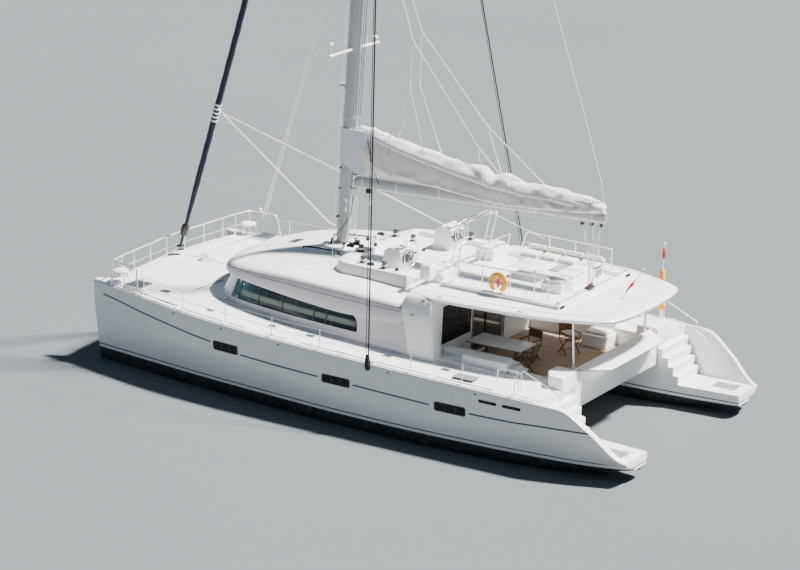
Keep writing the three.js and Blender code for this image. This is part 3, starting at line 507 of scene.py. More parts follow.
class Paint:
    """A material in the making: constants on its shader, then signals for what varies."""

    def __init__(self, name, **constants):
        self.material = bpy.data.materials.new(name)
        self.material.use_nodes = True
        self.tree = self.material.node_tree
        self.shader = self.tree.nodes["Principled BSDF"]
        for key, value in constants.items():
            self.shader.inputs[key.replace("_", " ")].default_value = value
        self.place = self.node("ShaderNodeTexCoord", out="Object")
        MATERIALS[name] = self.material

    def node(self, kind, settings=None, inputs=None, out=0):
        made = self.tree.nodes.new(kind)
        for key, value in (settings or {}).items():
            setattr(made, key, value)
        for key, value in (inputs or {}).items():
            if isinstance(value, Signal):
                self.tree.links.new(value.socket, made.inputs[key])
            else:
                made.inputs[key].default_value = value
        return Signal(self, made.outputs[out])

    def axes(self):
        split = self.node("ShaderNodeSeparateXYZ", None, {0: self.place})
        outputs = split.socket.node.outputs
        return [Signal(self, outputs[i]) for i in range(3)]

    def stretched(self, scale):
        return self.node("ShaderNodeMapping", {"vector_type": "POINT"},
                         {"Vector": self.place, "Scale": scale})

    def noise(self, scale, detail=2.0, roughness=0.5, vector=None):
        inputs = {"Vector": vector or self.place, "Scale": scale, "Detail": detail, "Roughness": roughness}
        return self.node("ShaderNodeTexNoise", {"noise_dimensions": "3D"}, inputs)

    def mix(self, factor, first, second):
        first = (*first, 1.0) if isinstance(first, tuple) else first
        second = (*second, 1.0) if isinstance(second, tuple) else second
        return self.node("ShaderNodeMix", {"data_type": "RGBA"}, {0: factor, 6: first, 7: second}, out=2)

    def set(self, **signals):
        for key, signal in signals.items():
            self.tree.links.new(signal.socket, self.shader.inputs[key.replace("_", " ")])
        return self

    def bump(self, height, distance, strength=1.0):
        inputs = {"Strength": strength, "Distance": distance, "Height": height}
        return self.set(Normal=self.node("ShaderNodeBump", None, inputs))


def shade_of(colour, share):
    return tuple(lie(part * share) for part in colour)


def moulded(name, colour, gloss=0.28, weathering=0.06):
    """Painted or moulded plastic: even colour, faint chalking, and the print of the cloth beneath."""
    paint = Paint(name, Coat_Roughness=0.08, IOR=1.5)
    broad = paint.noise(0.7, 3).ramp(0.35, 0.7)
    fine = paint.noise(14, 4)
    paint.set(Base_Color=paint.mix(broad * 0.6 + fine * 0.4, colour, shade_of(colour, 1 - weathering)))
    paint.set(Roughness=gloss + fine * 0.14 + broad * 0.06, Coat_Weight=0.35 - broad * 0.2)
    paint.bump(paint.noise(3, 2) + paint.noise(120, 1) * 0.05, 0.004, 0.35)


# the raked line where the deckhouse's grey band ends: x of its foot, and how far it leans per metre
BAND_END_X = -2.53
BAND_LEAN = 0.307
# heights above the water of the bottom paint's edge and of the boot stripe
BOTTOM_PAINT_Z = 0.385
BOOT_STRIPE_Z = (0.47, 0.505)


def house_wall_material(looks):
    """The deckhouse wall: a pale grey band that ends in a raked line, with white gelcoat aft of it."""
    paint = Paint("house_wall", Coat_Roughness=0.1, IOR=1.5)
    x, _, z = paint.axes()
    aft = (z * BAND_LEAN - x).over(-BAND_END_X)
    broad = paint.noise(0.7, 3).ramp(0.35, 0.7)
    band = paint.mix(broad, tuple(looks.band), shade_of(looks.band, 0.95))
    white = paint.mix(broad, tuple(looks.gelcoat), shade_of(looks.gelcoat, 0.95))
    paint.set(Base_Color=paint.mix(aft, band, white), Roughness=0.34 + broad * 0.1,
              Coat_Weight=0.3 - broad * 0.1)
    paint.bump(paint.noise(3, 2) + paint.noise(120, 1) * 0.05, 0.004, 0.35)


def topsides_material(looks):
    """Hull gelcoat with the bottom paint and two boot stripes by height."""
    paint = Paint("topsides", Coat_Roughness=0.06, IOR=1.5)
    _, _, height = paint.axes()
    broad = paint.noise(0.5, 3).ramp(0.3, 0.7)
    streak = paint.noise(1.0, 4, 0.6, paint.stretched((9, 9, 0.6))).ramp(0.5, 0.85)
    white = paint.mix(broad * 0.5 + streak * 0.5, tuple(looks.gelcoat), shade_of(looks.gelcoat, 0.93))
    slime = paint.noise(6, 4).ramp(0.35, 0.75)
    bottom = paint.mix(slime, tuple(looks.antifouling), (0.035, 0.045, 0.05))
    edge = paint.noise(5, 2) * 0.006
    below = (height + edge).under(BOTTOM_PAINT_Z)
    stripe = height.over(BOOT_STRIPE_Z[0]) * height.under(BOOT_STRIPE_Z[1])
    colour = paint.mix(below, white, bottom)
    colour = paint.mix(stripe, colour, tuple(looks.stripe))
    paint.set(Base_Color=colour, Roughness=0.2 + broad * 0.08 + below * 0.5, Coat_Weight=0.5 - below * 0.5)
    paint.bump(paint.noise(2.2, 2) + slime * below * 0.6, 0.006, 0.3)


def nonskid_material(name, tint, pitch):
    """Deck panels with a raised diamond pattern, worn paler where feet go."""
    paint = Paint(name, IOR=1.48)
    x, y, _ = paint.axes()
    first = ((x + y) * (math.pi / pitch)).sine()
    second = ((x - y) * (math.pi / pitch)).sine()
    pattern = (first * second).size().ramp(0.25, 0.75)
    worn = paint.noise(1.3, 4).ramp(0.4, 0.75)
    colour = paint.mix(worn, tint, shade_of(tint, 1.07))
    paint.set(Base_Color=paint.mix(pattern * 0.25, colour, shade_of(tint, 0.9)), Roughness=0.62 + worn * 0.1)
    paint.bump(pattern, 0.0012, 0.6)


def teak_material(looks):
    """Laid teak: planks along the boat with black caulking, silvered by the sun."""
    paint = Paint("teak", IOR=1.45)
    _, y, _ = paint.axes()
    across = y.wrap(looks.plank_width)
    seam = across.under(0.006)
    plank = y.math("FLOOR", y * (1 / looks.plank_width))
    grain = paint.noise(3.0, 5, 0.6, paint.stretched((1.5, 40, 40)))
    tone = (plank * 12.9898).sine().size()
    wood = paint.mix(grain, tuple(looks.teak), shade_of(looks.teak, 0.68))
    wood = paint.mix(tone * 0.45, wood, shade_of(looks.teak, 1.18))
    wood = paint.mix(paint.noise(0.9, 3).ramp(0.4, 0.7) * 0.4, wood, (0.52, 0.47, 0.41))
    paint.set(Base_Color=paint.mix(seam, wood, (0.02, 0.02, 0.022)), Roughness=0.7 - seam * 0.2 + grain * 0.1)
    paint.bump(grain * 0.3 - seam, 0.002, 0.6)


def glass_material(looks):
    """Dark tinted acrylic: a deep teal, painted a paler teal towards the front as light showing through it,
    with painted reflections: pale drifts and streaks, and a cream band of the white deck.
    """
    paint = Paint("glass", IOR=1.49, Coat_Weight=0.6, Coat_Roughness=0.03)
    x, _, z = paint.axes()
    # painted reflections: paler drifts and streaks stand for the sky seen in the glass
    reflection_drift = paint.noise(0.55, 2, 0.5, paint.stretched((1.0, 1.0, 2.2))).ramp(0.48, 0.72)
    streak = paint.noise(1.6, 3, 0.6, paint.stretched((1.6, 1.6, 0.25))).ramp(0.55, 0.8)
    # painted light: the glass turns a paler teal towards the front, where light shows through it
    light_through = x.ramp(3.2, 5.9)
    tint = paint.mix(light_through * 0.75, tuple(looks.glass), (0.05, 0.2, 0.21))
    colour = paint.mix(reflection_drift * 0.5 + streak * 0.35, tint, (0.12, 0.2, 0.2))
    # painted reflection: a cream band of the white side deck, seen in the glass
    deck_reflection = (z + reflection_drift * 0.03).ramp(2.66, 2.72) * (1 - (z + reflection_drift * 0.05).ramp(2.8, 2.88))
    deck_reflection = deck_reflection * x.ramp(-0.4, 0.6) * (1 - x.ramp(4.4, 4.9)) * (0.45 + 0.4 * reflection_drift)
    colour = paint.mix(deck_reflection, colour, (0.5, 0.53, 0.44))
    paint.set(Base_Color=colour, Roughness=0.05 + reflection_drift * 0.05 + paint.noise(30, 2) * 0.03)
    paint.bump(paint.noise(1.1, 1), 0.004, 0.15)


def metal(name, colour, roughness, metallic, grain=(1, 1, 1), spots=0.1):
    """Bare or anodised metal with rubbed and water-marked patches."""
    paint = Paint(name, IOR=1.6)
    rub = paint.noise(18, 4, 0.6, paint.stretched(grain))
    patch = paint.noise(2.5, 3).ramp(0.4, 0.75)
    paint.set(Base_Color=paint.mix(patch * 0.6 + rub * 0.4, colour, shade_of(colour, 1 - spots)))
    paint.set(Roughness=roughness + rub * 0.14 + patch * 0.08, Metallic=metallic - patch * 0.08)
    paint.bump(rub, 0.0006, 0.4)


def cloth(name, colour, weave=0.004, fold=0.0, sheen=0.25, fade=0.12):
    """Woven cloth on Object coordinates: threads both ways, faded patches, and folds if it is slack."""
    paint = Paint(name, IOR=1.4, Sheen_Weight=sheen, Sheen_Roughness=0.5)
    x, y, z = paint.axes()
    turn = 2 * math.pi / weave
    threads = (x * turn).sine() * ((z + y) * turn).sine()
    faded = paint.noise(1.4, 4).ramp(0.35, 0.75)
    dirt = paint.noise(9, 4, 0.6).ramp(0.5, 0.8)
    paint.set(Base_Color=paint.mix(faded * 0.7 + dirt * 0.3, colour, shade_of(colour, 1 - fade)))
    paint.set(Roughness=0.82 + dirt * 0.1)
    height = threads * 0.02
    if fold:
        height = height + paint.noise(2.4, 4, 0.55, paint.stretched((1.0, 2.0, 2.6))) * fold
    paint.bump(height, 0.03 if fold else 0.01, 0.5)


def rope_material(name, colour, tracer):
    """Braided rope: crossing strands, with a coloured tracer thread."""
    paint = Paint(name, IOR=1.45, Sheen_Weight=0.2)
    x, y, z = paint.axes()
    first = ((x + y + z) * 260).sine()
    second = ((x - y - z) * 260).sine()
    strands = (first * second).ramp(-0.5, 0.5)
    paint.set(Base_Color=paint.mix((first * second).over(0.82), colour, tracer))
    paint.set(Roughness=0.75 + strands * 0.12)
    paint.bump(strands, 0.002, 0.6)


def plain(name, colour, roughness=0.5, grain=40.0, spots=0.15, height=0.001, index=1.45):
    """Rubber, plastic or bottom paint: an even colour with a fine broken grain."""
    paint = Paint(name, IOR=index)
    mottle = paint.noise(grain, 4, 0.6)
    patch = paint.noise(grain / 12, 3).ramp(0.35, 0.75)
    paint.set(Base_Color=paint.mix(mottle * 0.5 + patch * 0.5, colour, shade_of(colour, 1 - spots)))
    paint.set(Roughness=roughness + mottle * 0.12)
    paint.bump(mottle, height, 0.5)


def woodwork_material():
    """Varnished cabin joinery, seen through the glass."""
    paint = Paint("joinery", IOR=1.5, Coat_Weight=0.4)
    grain = paint.noise(4, 5, 0.6, paint.stretched((1.0, 8, 14)))
    paint.set(Base_Color=paint.mix(grain, (0.33, 0.19, 0.10), (0.20, 0.10, 0.05)))
    paint.set(Roughness=0.35 + grain * 0.15)
    paint.bump(grain, 0.001, 0.3)


def make_materials(looks):
    moulded("gelcoat", tuple(looks.gelcoat))
    moulded("band_grey", tuple(looks.band), gloss=0.4)
    moulded("shade_grey", (0.62, 0.64, 0.66), gloss=0.4)
    moulded("dark_trim", (0.03, 0.032, 0.036), gloss=0.35, weathering=0.3)
    house_wall_material(looks)
    moulded("stripe_dark", tuple(looks.stripe), gloss=0.3)
    moulded("shade_dark", (0.2, 0.2, 0.21), gloss=0.5)
    moulded("hatch_glass", (0.08, 0.1, 0.105), gloss=0.1, weathering=0.3)
    topsides_material(looks)
    nonskid_material("nonskid", tuple(looks.nonskid), looks.nonskid_pitch)
    teak_material(looks)
    glass_material(looks)
    metal("steel", (0.9, 0.91, 0.92), 0.24, 0.75)
    metal("mast_grey", tuple(looks.mast), 0.38, 0.55, grain=(6, 6, 0.3), spots=0.14)
    metal("bronze", (0.5, 0.36, 0.17), 0.35, 0.9, spots=0.3)
    cloth("canvas", tuple(looks.canvas), weave=0.006, fold=0.5)
    # painted shade: the collar is the bag's canvas, coloured blue-grey as it looks in shade
    cloth("collar_painted_shade", (0.72, 0.76, 0.84), weave=0.006, fold=0.4)
    cloth("sailcloth", (0.86, 0.85, 0.83), weave=0.008, fold=0.8, fade=0.06)
    cloth("sail_navy", tuple(looks.headsail), weave=0.006, sheen=0.35)
    cloth("cushion", tuple(looks.cushion), weave=0.005, sheen=0.3, fade=0.08)
    cloth("ensign_red", (0.5, 0.02, 0.03), weave=0.004)
    cloth("chair_cloth", (0.2, 0.09, 0.05), weave=0.004)
    rope_material("rope_white", (0.8, 0.79, 0.76), (0.25, 0.3, 0.5))
    rope_material("rope_black", (0.02, 0.02, 0.024), (0.12, 0.12, 0.13))
    rope_material("rope_grey", (0.42, 0.43, 0.45), (0.2, 0.2, 0.22))
    plain("antifouling", tuple(looks.antifouling), 0.75, 9, 0.3, 0.004)
    plain("rubber", (0.02, 0.021, 0.024), 0.55, 60)
    plain("dark_glass", (0.008, 0.009, 0.011), 0.22, 12, 0.4, 0.0006, 1.25)
    plain("winch_black", (0.03, 0.03, 0.033), 0.3, 50)
    plain("life_orange", tuple(looks.lifebuoy), 0.55, 30, 0.1)
    plain("life_red", (0.6, 0.04, 0.03), 0.6, 30)
    plain("chair_brown", (0.16, 0.07, 0.035), 0.55, 25, 0.3)
    # painted shade: the headlining is white gelcoat, coloured a darker beige-grey as it lies in shade under
    # the hardtop
    plain("headliner_shade", (0.55, 0.53, 0.49), 0.8, 80, 0.08)
    woodwork_material()


class CatamaranLooks(bpy.types.PropertyGroup):
    """Sizes and colours that a user would change."""

    gelcoat: bpy.props.FloatVectorProperty(
        name="Gelcoat", description="Colour of the hulls and decks", subtype="COLOR",
        default=(0.9, 0.9, 0.89))
    band: bpy.props.FloatVectorProperty(
        name="Deckhouse band", description="Colour of the deckhouse wall", subtype="COLOR",
        default=(0.76, 0.71, 0.74))
    nonskid: bpy.props.FloatVectorProperty(
        name="Non-skid", description="Colour of the deck panels", subtype="COLOR", default=(0.74, 0.75, 0.75))
    stripe: bpy.props.FloatVectorProperty(
        name="Stripe", description="Colour of the hull stripes", subtype="COLOR", default=(0.06, 0.075, 0.1))
    antifouling: bpy.props.FloatVectorProperty(
        name="Bottom paint", description="Colour of the bottom", subtype="COLOR",
        default=(0.012, 0.012, 0.014))
    glass: bpy.props.FloatVectorProperty(
        name="Glass", description="Tint of the windows", subtype="COLOR", default=(0.008, 0.018, 0.024))
    mast: bpy.props.FloatVectorProperty(
        name="Spars", description="Colour of mast and boom", subtype="COLOR", default=(0.5, 0.52, 0.53))
    canvas: bpy.props.FloatVectorProperty(
        name="Sail bag", description="Colour of the bag on the boom", subtype="COLOR",
        default=(0.86, 0.79, 0.73))
    headsail: bpy.props.FloatVectorProperty(
        name="Headsail", description="Colour of the furled sail's edge", subtype="COLOR",
        default=(0.012, 0.016, 0.04))
    cushion: bpy.props.FloatVectorProperty(
        name="Cushions", description="Colour of seats and lounge", subtype="COLOR", default=(0.8, 0.78, 0.72))
    lifebuoy: bpy.props.FloatVectorProperty(
        name="Lifebuoy", description="Colour of the lifebuoy", subtype="COLOR", default=(0.9, 0.46, 0.03))
    teak: bpy.props.FloatVectorProperty(
        name="Teak", description="Colour of the laid decks", subtype="COLOR", default=(0.42, 0.3, 0.2))
    plank_width: bpy.props.FloatProperty(
        name="Plank width", description="Width of a teak plank with its seam", unit="LENGTH", default=0.055)
    nonskid_pitch: bpy.props.FloatProperty(
        name="Non-skid pitch", description="Spacing of the raised pattern", unit="LENGTH", default=0.014)


def looks_of(context):
    return context.scene.catamaran_looks


# Camera and stage

CAMERA_PLACE = (-43.355, 77.370, 28.920)
CAMERA_AZIMUTH = 209.639
CAMERA_ELEVATION = 16.193
CAMERA_ROLL = 2.637
CAMERA_LENS = 136.17


def make_camera():
    azimuth, elevation, roll = (math.radians(v) for v in (CAMERA_AZIMUTH, CAMERA_ELEVATION, CAMERA_ROLL))
    back = Vector((math.sin(azimuth) * math.cos(elevation), -math.cos(azimuth) * math.cos(elevation),
                   math.sin(elevation)))
    right = (-back).cross(Vector((0, 0, 1))).normalized()
    up = right.cross(-back)
    turned_right = right * math.cos(roll) + up * math.sin(roll)
    turned_up = up * math.cos(roll) - right * math.sin(roll)
    data = bpy.data.cameras.new("camera")
    data.lens = CAMERA_LENS
    data.sensor_width = 36
    data.sensor_fit = "HORIZONTAL"
    data.clip_start = 1
    data.clip_end = 600
    camera = bpy.data.objects.new("camera", data)
    turn = Matrix((turned_right, turned_up, back)).transposed().to_4x4()
    camera.matrix_world = Matrix.Translation(CAMERA_PLACE) @ turn
    bpy.context.scene.collection.objects.link(camera)
    bpy.context.scene.camera = camera


def add_light(name, kind, energy, colour, place, size):
    data = bpy.data.lights.new(name, kind)
    data.energy = energy
    data.color = colour
    if kind == "SUN":
        data.angle = size
    else:
        data.shape = "DISK"
        data.size = size
    light = bpy.data.objects.new(name, data)
    light.location = place
    light.rotation_euler = (-Vector(place)).to_track_quat("-Z", "Y").to_euler()
    bpy.context.scene.collection.objects.link(light)


class BOAT_OT_stage(bpy.types.Operator):
    """Puts up the camera, the pale floor at the waterline and the soft studio light"""

    bl_idname = "boat.stage"
    bl_label = "Camera and stage"

    def execute(self, context):
        make_camera()
        paint = Paint("floor", Roughness=0.9)
        cloudy = paint.noise(0.05, 2)
        paint.set(Base_Color=paint.mix(cloudy, (0.12, 0.136, 0.145), (0.11, 0.126, 0.134)))
        bm = bmesh.new()
        bmesh.ops.create_grid(bm, x_segments=4, y_segments=4, size=400)
        floor = scratch(bm, "floor")
        floor.data.materials.append(MATERIALS["floor"])
        world = bpy.data.worlds.new("studio")
        context.scene.world = world
        world.use_nodes = True
        background = world.node_tree.nodes["Background"]
        background.inputs["Color"].default_value = (0.5, 0.7, 1.0, 1)
        background.inputs["Strength"].default_value = 0.22
        add_light("key", "SUN", 18.0, (1.0, 0.97, 0.94), (-25, -18, 50), math.radians(5))
        add_light("fill", "SUN", 0.12, (0.7, 0.85, 1.0), (-30, 60, 26), math.radians(60))
        return {"FINISHED"}


class BOAT_OT_materials(bpy.types.Operator):
    """Makes the boat's materials"""

    bl_idname = "boat.materials"
    bl_label = "Materials"

    def execute(self, context):
        make_materials(looks_of(context))
        return {"FINISHED"}


# CAD nodes that keep their shape, and the material that each takes
NODE_MATERIALS = {
    "topsides": ["hull_port", "hull_starboard"],
    "gelcoat": [
        "foredeck", "aft_coaming", "cockpit_bench", "coachroof", "saloon_bulkhead", "hardtop", "wing_port",
        "wing_starboard", "cockpit_settee", "flybridge_plinth", "helm_console_port", "helm_console_starboard",
        "helm_seat_port", "helm_seat_starboard", "bridgedeck", "cockpit_table"],
    "band_grey": ["deckhouse_wall"],
    "shade_grey": ["hatch_frame_port", "hatch_frame_starboard"],
    "joinery": ["saloon_furniture"],
    "glass": ["window_band", "fixed_door_pane", "sliding_door", "hatch_lid_port", "hatch_lid_starboard"],
    "antifouling": ["keel_port", "keel_starboard", "rudder_port", "rudder_starboard"],
    "bronze": ["shaft_bracket_port", "shaft_bracket_starboard", "propeller_port", "propeller_starboard"],
    "steel": [
        "post_port", "post_starboard", "wheel_port", "wheel_starboard", "guard_rail_port",
        "guard_rail_starboard", "bimini_frame", "front_rail", "lifeline_port", "lifeline_starboard",
        "mast_step", "furler_drum", "chainplate_port", "chainplate_starboard"],
    "mast_grey": ["mast", "boom"],
    "rubber": ["shroud_port", "shroud_starboard"],
    "life_orange": ["lifebuoy"],
    "cushion": ["flybridge_lounge"],
    "canvas": ["sail_bag"],
    "sail_navy": ["furled_headsail"],
}


class BOAT_OT_carried_over(bpy.types.Operator):
    """Gives each CAD node its material"""

    bl_idname = "boat.carried_over"
    bl_label = "CAD nodes"

    def execute(self, context):
        for material, names in NODE_MATERIALS.items():
            for name in names:
                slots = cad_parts[name].data.materials
                slots.clear()
                slots.append(MATERIALS[material])
        return {"FINISHED"}


# Hulls

SECTION_ROUNDING = 0.035
SCOOP_START_X = -6.82
TREAD = 0.17
TREADS = 5
BULWARK = 0.2


def hull_ring(x):
    """The hull's section at a station, from the gunwale down round the keel and up to the deck again."""
    sheer, gunwale, water, inner_deck, inner_water, keel, rake = (
        hull_at(x, name) for name in STATIONS.names[1:])
    middle = (water + inner_water) / 2
    half = (water - inner_water) / 2
    width = gunwale - inner_deck
    corner = min(SECTION_ROUNDING, width * 0.25)
    section = []
    for t in (1.0, 0.66, 0.33, 0.0):
        turn = math.pi / 2 * t
        section.append((gunwale - corner * (1 - math.cos(turn)) if t < 1 else gunwale - corner,
                        sheer - corner * (1 - math.sin(turn))))
    for step in range(1, 9):
        t = 1 - step / 8
        height = mix(WATER_Z, sheer - corner, t)
        share = (height - WATER_Z) / (sheer - WATER_Z)
        section.append((mix(water, gunwale, 2 * share - share * share), height))
    for step in range(1, 16):
        turn = math.pi * step / 16
        section.append((middle + half * math.cos(turn), WATER_Z + (keel - WATER_Z) * math.sin(turn)))
    for step in range(8):
        t = step / 8
        height = mix(WATER_Z, sheer + DECK_CROWN - corner, t)
        share = lie((height - WATER_Z) / (sheer - WATER_Z) / 0.75)
        section.append((mix(inner_water, inner_deck, 1 - (1 - share) ** 1.6), height))
    for t in (0.0, 0.5, 1.0):
        turn = math.pi / 2 * t
        section.append((inner_deck + corner * (1 - math.cos(turn)),
                        sheer + DECK_CROWN - corner * (1 - math.sin(turn))))
    for t in (0.75, 0.5, 0.25):
        section.append((mix(gunwale, inner_deck, t), sheer + DECK_CROWN * t + 0.008 * math.sin(math.pi * t)))
    return [(x - rake * lie((sheer - z) / sheer, 0, 9) ** 1.4, y, z) for y, z in section]


def hull_places():
    """Stations close together where the shape turns fastest."""
    places = [-9.45, -9.36, -9.28, -9.1]
    places += [-9.1 + 0.15 * i for i in range(1, 15)]
    places += [-7.0 + 0.5 * i for i in range(1, 28)]
    places += [6.9, 7.3, 7.7, 8.05, 8.4, 8.7, 8.95, 9.12, 9.25, 9.33, 9.39, 9.42, 9.44]
    return sorted(set(round(x, 3) for x in places))


def stair_tool():
    """What the stern scoop leaves out of the hull, inboard of the bulwark."""
    sheer = hull_at(SCOOP_START_X, "sheer")
    drop = (sheer - PLATFORM_Z) / TREADS
    profile = [(-9.7, 2.6), (SCOOP_START_X, 2.6)]
    for step in range(TREADS):
        x = SCOOP_START_X - step * TREAD
        profile.append((x, sheer - step * drop + (DECK_CROWN if step == 0 else 0)))
        profile.append((x, sheer - (step + 1) * drop))
    profile.append((-9.7, PLATFORM_Z))
    stairs = round_edges(plate_of([(x, 1.9, z) for x, z in profile], (0, 3.6, 0)), 0.02, 3)
    rows = []
    for x in (-5.0, -6.0, -6.8, -7.2, -7.46, -7.8, -8.1, -8.4, -8.8, -9.1, -9.28, -9.45, -9.8):
        outer = hull_at(x, "gunwale") - BULWARK
        low = min(outer - 0.05, topside_y(x, PLATFORM_Z) - 0.16)
        section = [(1.8, -0.5), (low, -0.5), (low, PLATFORM_Z), (outer, hull_at(x, "sheer") + 0.05),
                   (outer, 3), (1.8, 3)]
        rows.append([(x, y, z) for y, z in section])
    return carved(stairs, loft_of(rows), operation="INTERSECT")


def dressed(node, radius, segments=2):
    """A CAD node's own form with its edges rounded."""
    return Piece(round_edges(node_copy(node), radius, segments))


def redress(node, name, material, radius, segments=2):
    """Puts a CAD node's own form, with its edges rounded, in the node's place."""
    dressed(node, radius, segments).done(name, material, node)


class BOAT_OT_hulls(bpy.types.Operator):
    """Builds the two hulls with their stern scoops"""

    bl_idname = "boat.hulls"
    bl_label = "Hulls"

    def execute(self, context):
        hull = Piece(carved(loft_of([hull_ring(x) for x in hull_places()]), stair_tool()))
        hull.pair("hull_{}_skin", "topsides", "hull_{}")
        return {"FINISHED"}


# x, height of the hull's thin stripe, in runs that stop at each window
STRIPE_RUNS = [
    [(9.0, 1.78), (7.6, 1.62), (6.2, 1.5), (5.2, 1.41), (4.42, 1.34)],
    [(3.28, 1.165), (2.0, 1.115), (0.5, 1.08)],
    [(-0.72, 1.065), (-2.0, 1.03), (-3.3, 1.0)],
    [(-4.6, 0.99), (-5.97, 1.01), (-7.0, 1.08), (-8.38, 1.15)],
]
STRIPE_HALF = 0.026
# forward end, aft end, foot and head of each window in the topsides
HULL_WINDOWS = [(4.32, 3.38, 1.12, 1.42), (0.36, -0.62, 0.94, 1.22), (-3.46, -4.5, 0.86, 1.15)]
PORTLIGHTS = [(-4.91, -5.49, 1.41, 1.5), (-5.68, -6.27, 1.41, 1.5)]
# forward and aft end of each drain line beside the gunwale, and x of each outlet below it
DRAIN_LINES = [(8.6, 7.9), (7.7, 5.95), (5.75, 4.1), (3.9, 3.3), (2.5, 1.8), (1.25, -1.0), (-1.35, -3.1),
               (-3.4, -5.2)]
DRAIN_OUTLETS = (5.9, 4.0, 1.9, -1.9, -4.8)


def on_topsides(x, z, out):
    return (x, topside_y(x, z) + out, z)


def topside_patch(front, back, foot, head, out, thickness, across=24, up=5, corner=0.05):
    """A panel with rounded ends that follows the topsides."""
    def point_at(u, v):
        end = min(u, 1 - u) * abs(front - back)
        pinch = 0.0 if end > corner else (1 - math.sqrt(max(0.0, 1 - (1 - end / corner) ** 2))) * 0.16
        return on_topsides(mix(front, back, u), mix(foot, head, mix(pinch, 1 - pinch, v)), out)
    return sheet_of(point_at, across, up, thickness)


def strip_along(run, half, out, thickness):
    """A thin band along a run of (x, z) points on the topsides."""
    rows = []
    for (x0, z0), (x1, z1) in zip(run, run[1:]):
        steps = max(2, int(abs(x1 - x0) / 0.25))
        rows += [(mix(x0, x1, i / steps), mix(z0, z1, i / steps)) for i in range(steps)]
    rows.append(run[-1])
    return panel_of([[on_topsides(x, z + away, out) for away in (-half, half)] for x, z in rows], thickness)


def gunwale_path(first, last, inset, up, step=0.4):
    """Points beside the gunwale, from one x to another."""
    count = max(2, int(abs(last - first) / step))
    path = []
    for i in range(count + 1):
        x = mix(first, last, i / count)
        y = hull_at(x, "gunwale") - inset
        path.append((x, y, deck_z(x, y) + up))
    return path


class BOAT_OT_topsides(bpy.types.Operator):
    """Adds stripes, hull windows and portlights to the topsides, and toe rails, deck drains and bow caps
    along the gunwale
    """

    bl_idname = "boat.topsides"
    bl_label = "Topsides details"

    def execute(self, context):
        stripes = Piece(*(strip_along(run, STRIPE_HALF, 0.004, 0.006) for run in STRIPE_RUNS))
        stripes.mirror().done("hull_stripes", "stripe_dark")
        glass = Piece()
        frames = Piece()
        for front, back, foot, head in HULL_WINDOWS:
            glass.add(topside_patch(front - 0.03, back + 0.03, foot + 0.03, head - 0.03, 0.012, 0.012))
            frames.add(topside_patch(front, back, foot, head, 0.008, 0.012))
            for x in (mix(front, back, share) for share in (0.36, 0.68)):
                frames.add(topside_patch(x + 0.012, x - 0.012, foot + 0.02, head - 0.02, 0.016, 0.008,
                                         1, 4, 0.001))
        for front, back, foot, head in PORTLIGHTS:
            glass.add(topside_patch(front, back, foot, head, 0.008, 0.012, 12, 3, 0.05))
            for x in (mix(front, back, share) for share in (0.33, 0.66)):
                frames.add(topside_patch(x + 0.015, x - 0.015, foot, head, 0.012, 0.008, 1, 2, 0.001))
        glass.mirror().done("hull_windows", "dark_glass")
        frames.mirror().done("hull_window_frames", "dark_trim")
        Piece(tube_of(gunwale_path(8.9, -6.7, 0.05, 0.012), 0.016, 6)).mirror().done("toe_rails", "gelcoat")
        marks = Piece(*(tube_of(gunwale_path(*ends, 0.24, 0.004), 0.015, 6) for ends in DRAIN_LINES))
        for x in DRAIN_OUTLETS:
            z = hull_at(x, "sheer") - 0.13
            marks.add(rod_of(on_topsides(x, z, -0.02), on_topsides(x, z, 0.012), 0.028, sides=14))
        marks.mirror().done("deck_drains", "dark_trim")
        cap = [(9.44, 3.66, 2.13), (9.42, 3.8, 2.13), (8.9, 3.9, 2.13), (8.86, 3.4, 2.15)]
        Piece(plate_of(cap, (0, 0, 0.06), 0.02, 3)).mirror().done("bow_caps", "gelcoat")
        return {"FINISHED"}


# x of the life lines' posts, which stand this far inside the gunwale
LINE_POSTS = (7.3, 5.6, 3.9, 2.2, 0.5, -2.6, -4.3, -6.0)
LINE_INSET = 0.09
# forward and aft end of each side deck panel, and with the half-width of each foredeck panel
DECK_PANELS = [(8.3, 6.6), (6.5, 4.4), (4.3, 2.2), (2.1, 0.1), (0.0, -2.0), (-2.7, -4.2), (-4.3, -6.6)]
FOREDECK_PANELS = [(8.6, 7.4, 3.0), (7.3, 6.6, 2.75)]
# x, y, half-length
FLUSH_HATCHES = [(7.0, 3.42, 0.17), (4.95, 4.0, 0.13), (2.72, 4.0, 0.13), (1.35, 4.05, 0.14),
                 (-1.35, 4.12, 0.14), (-3.3, 4.1, 0.14), (8.72, 2.35, 0.14)]
# x, y of the dark lines on the foredeck: painted shadow along the raised foredeck's edges
FOREDECK_SHADE_LINES = [[(7.52, 4.0), (6.05, 4.24)], [(6.34, 2.76), (6.22, 1.37)], [(7.38, 3.98), (6.33, 3.15)],
                  [(6.33, 3.15), (6.34, 2.76)]]
CLEATS = (8.6, 6.0, -0.2, -6.3)


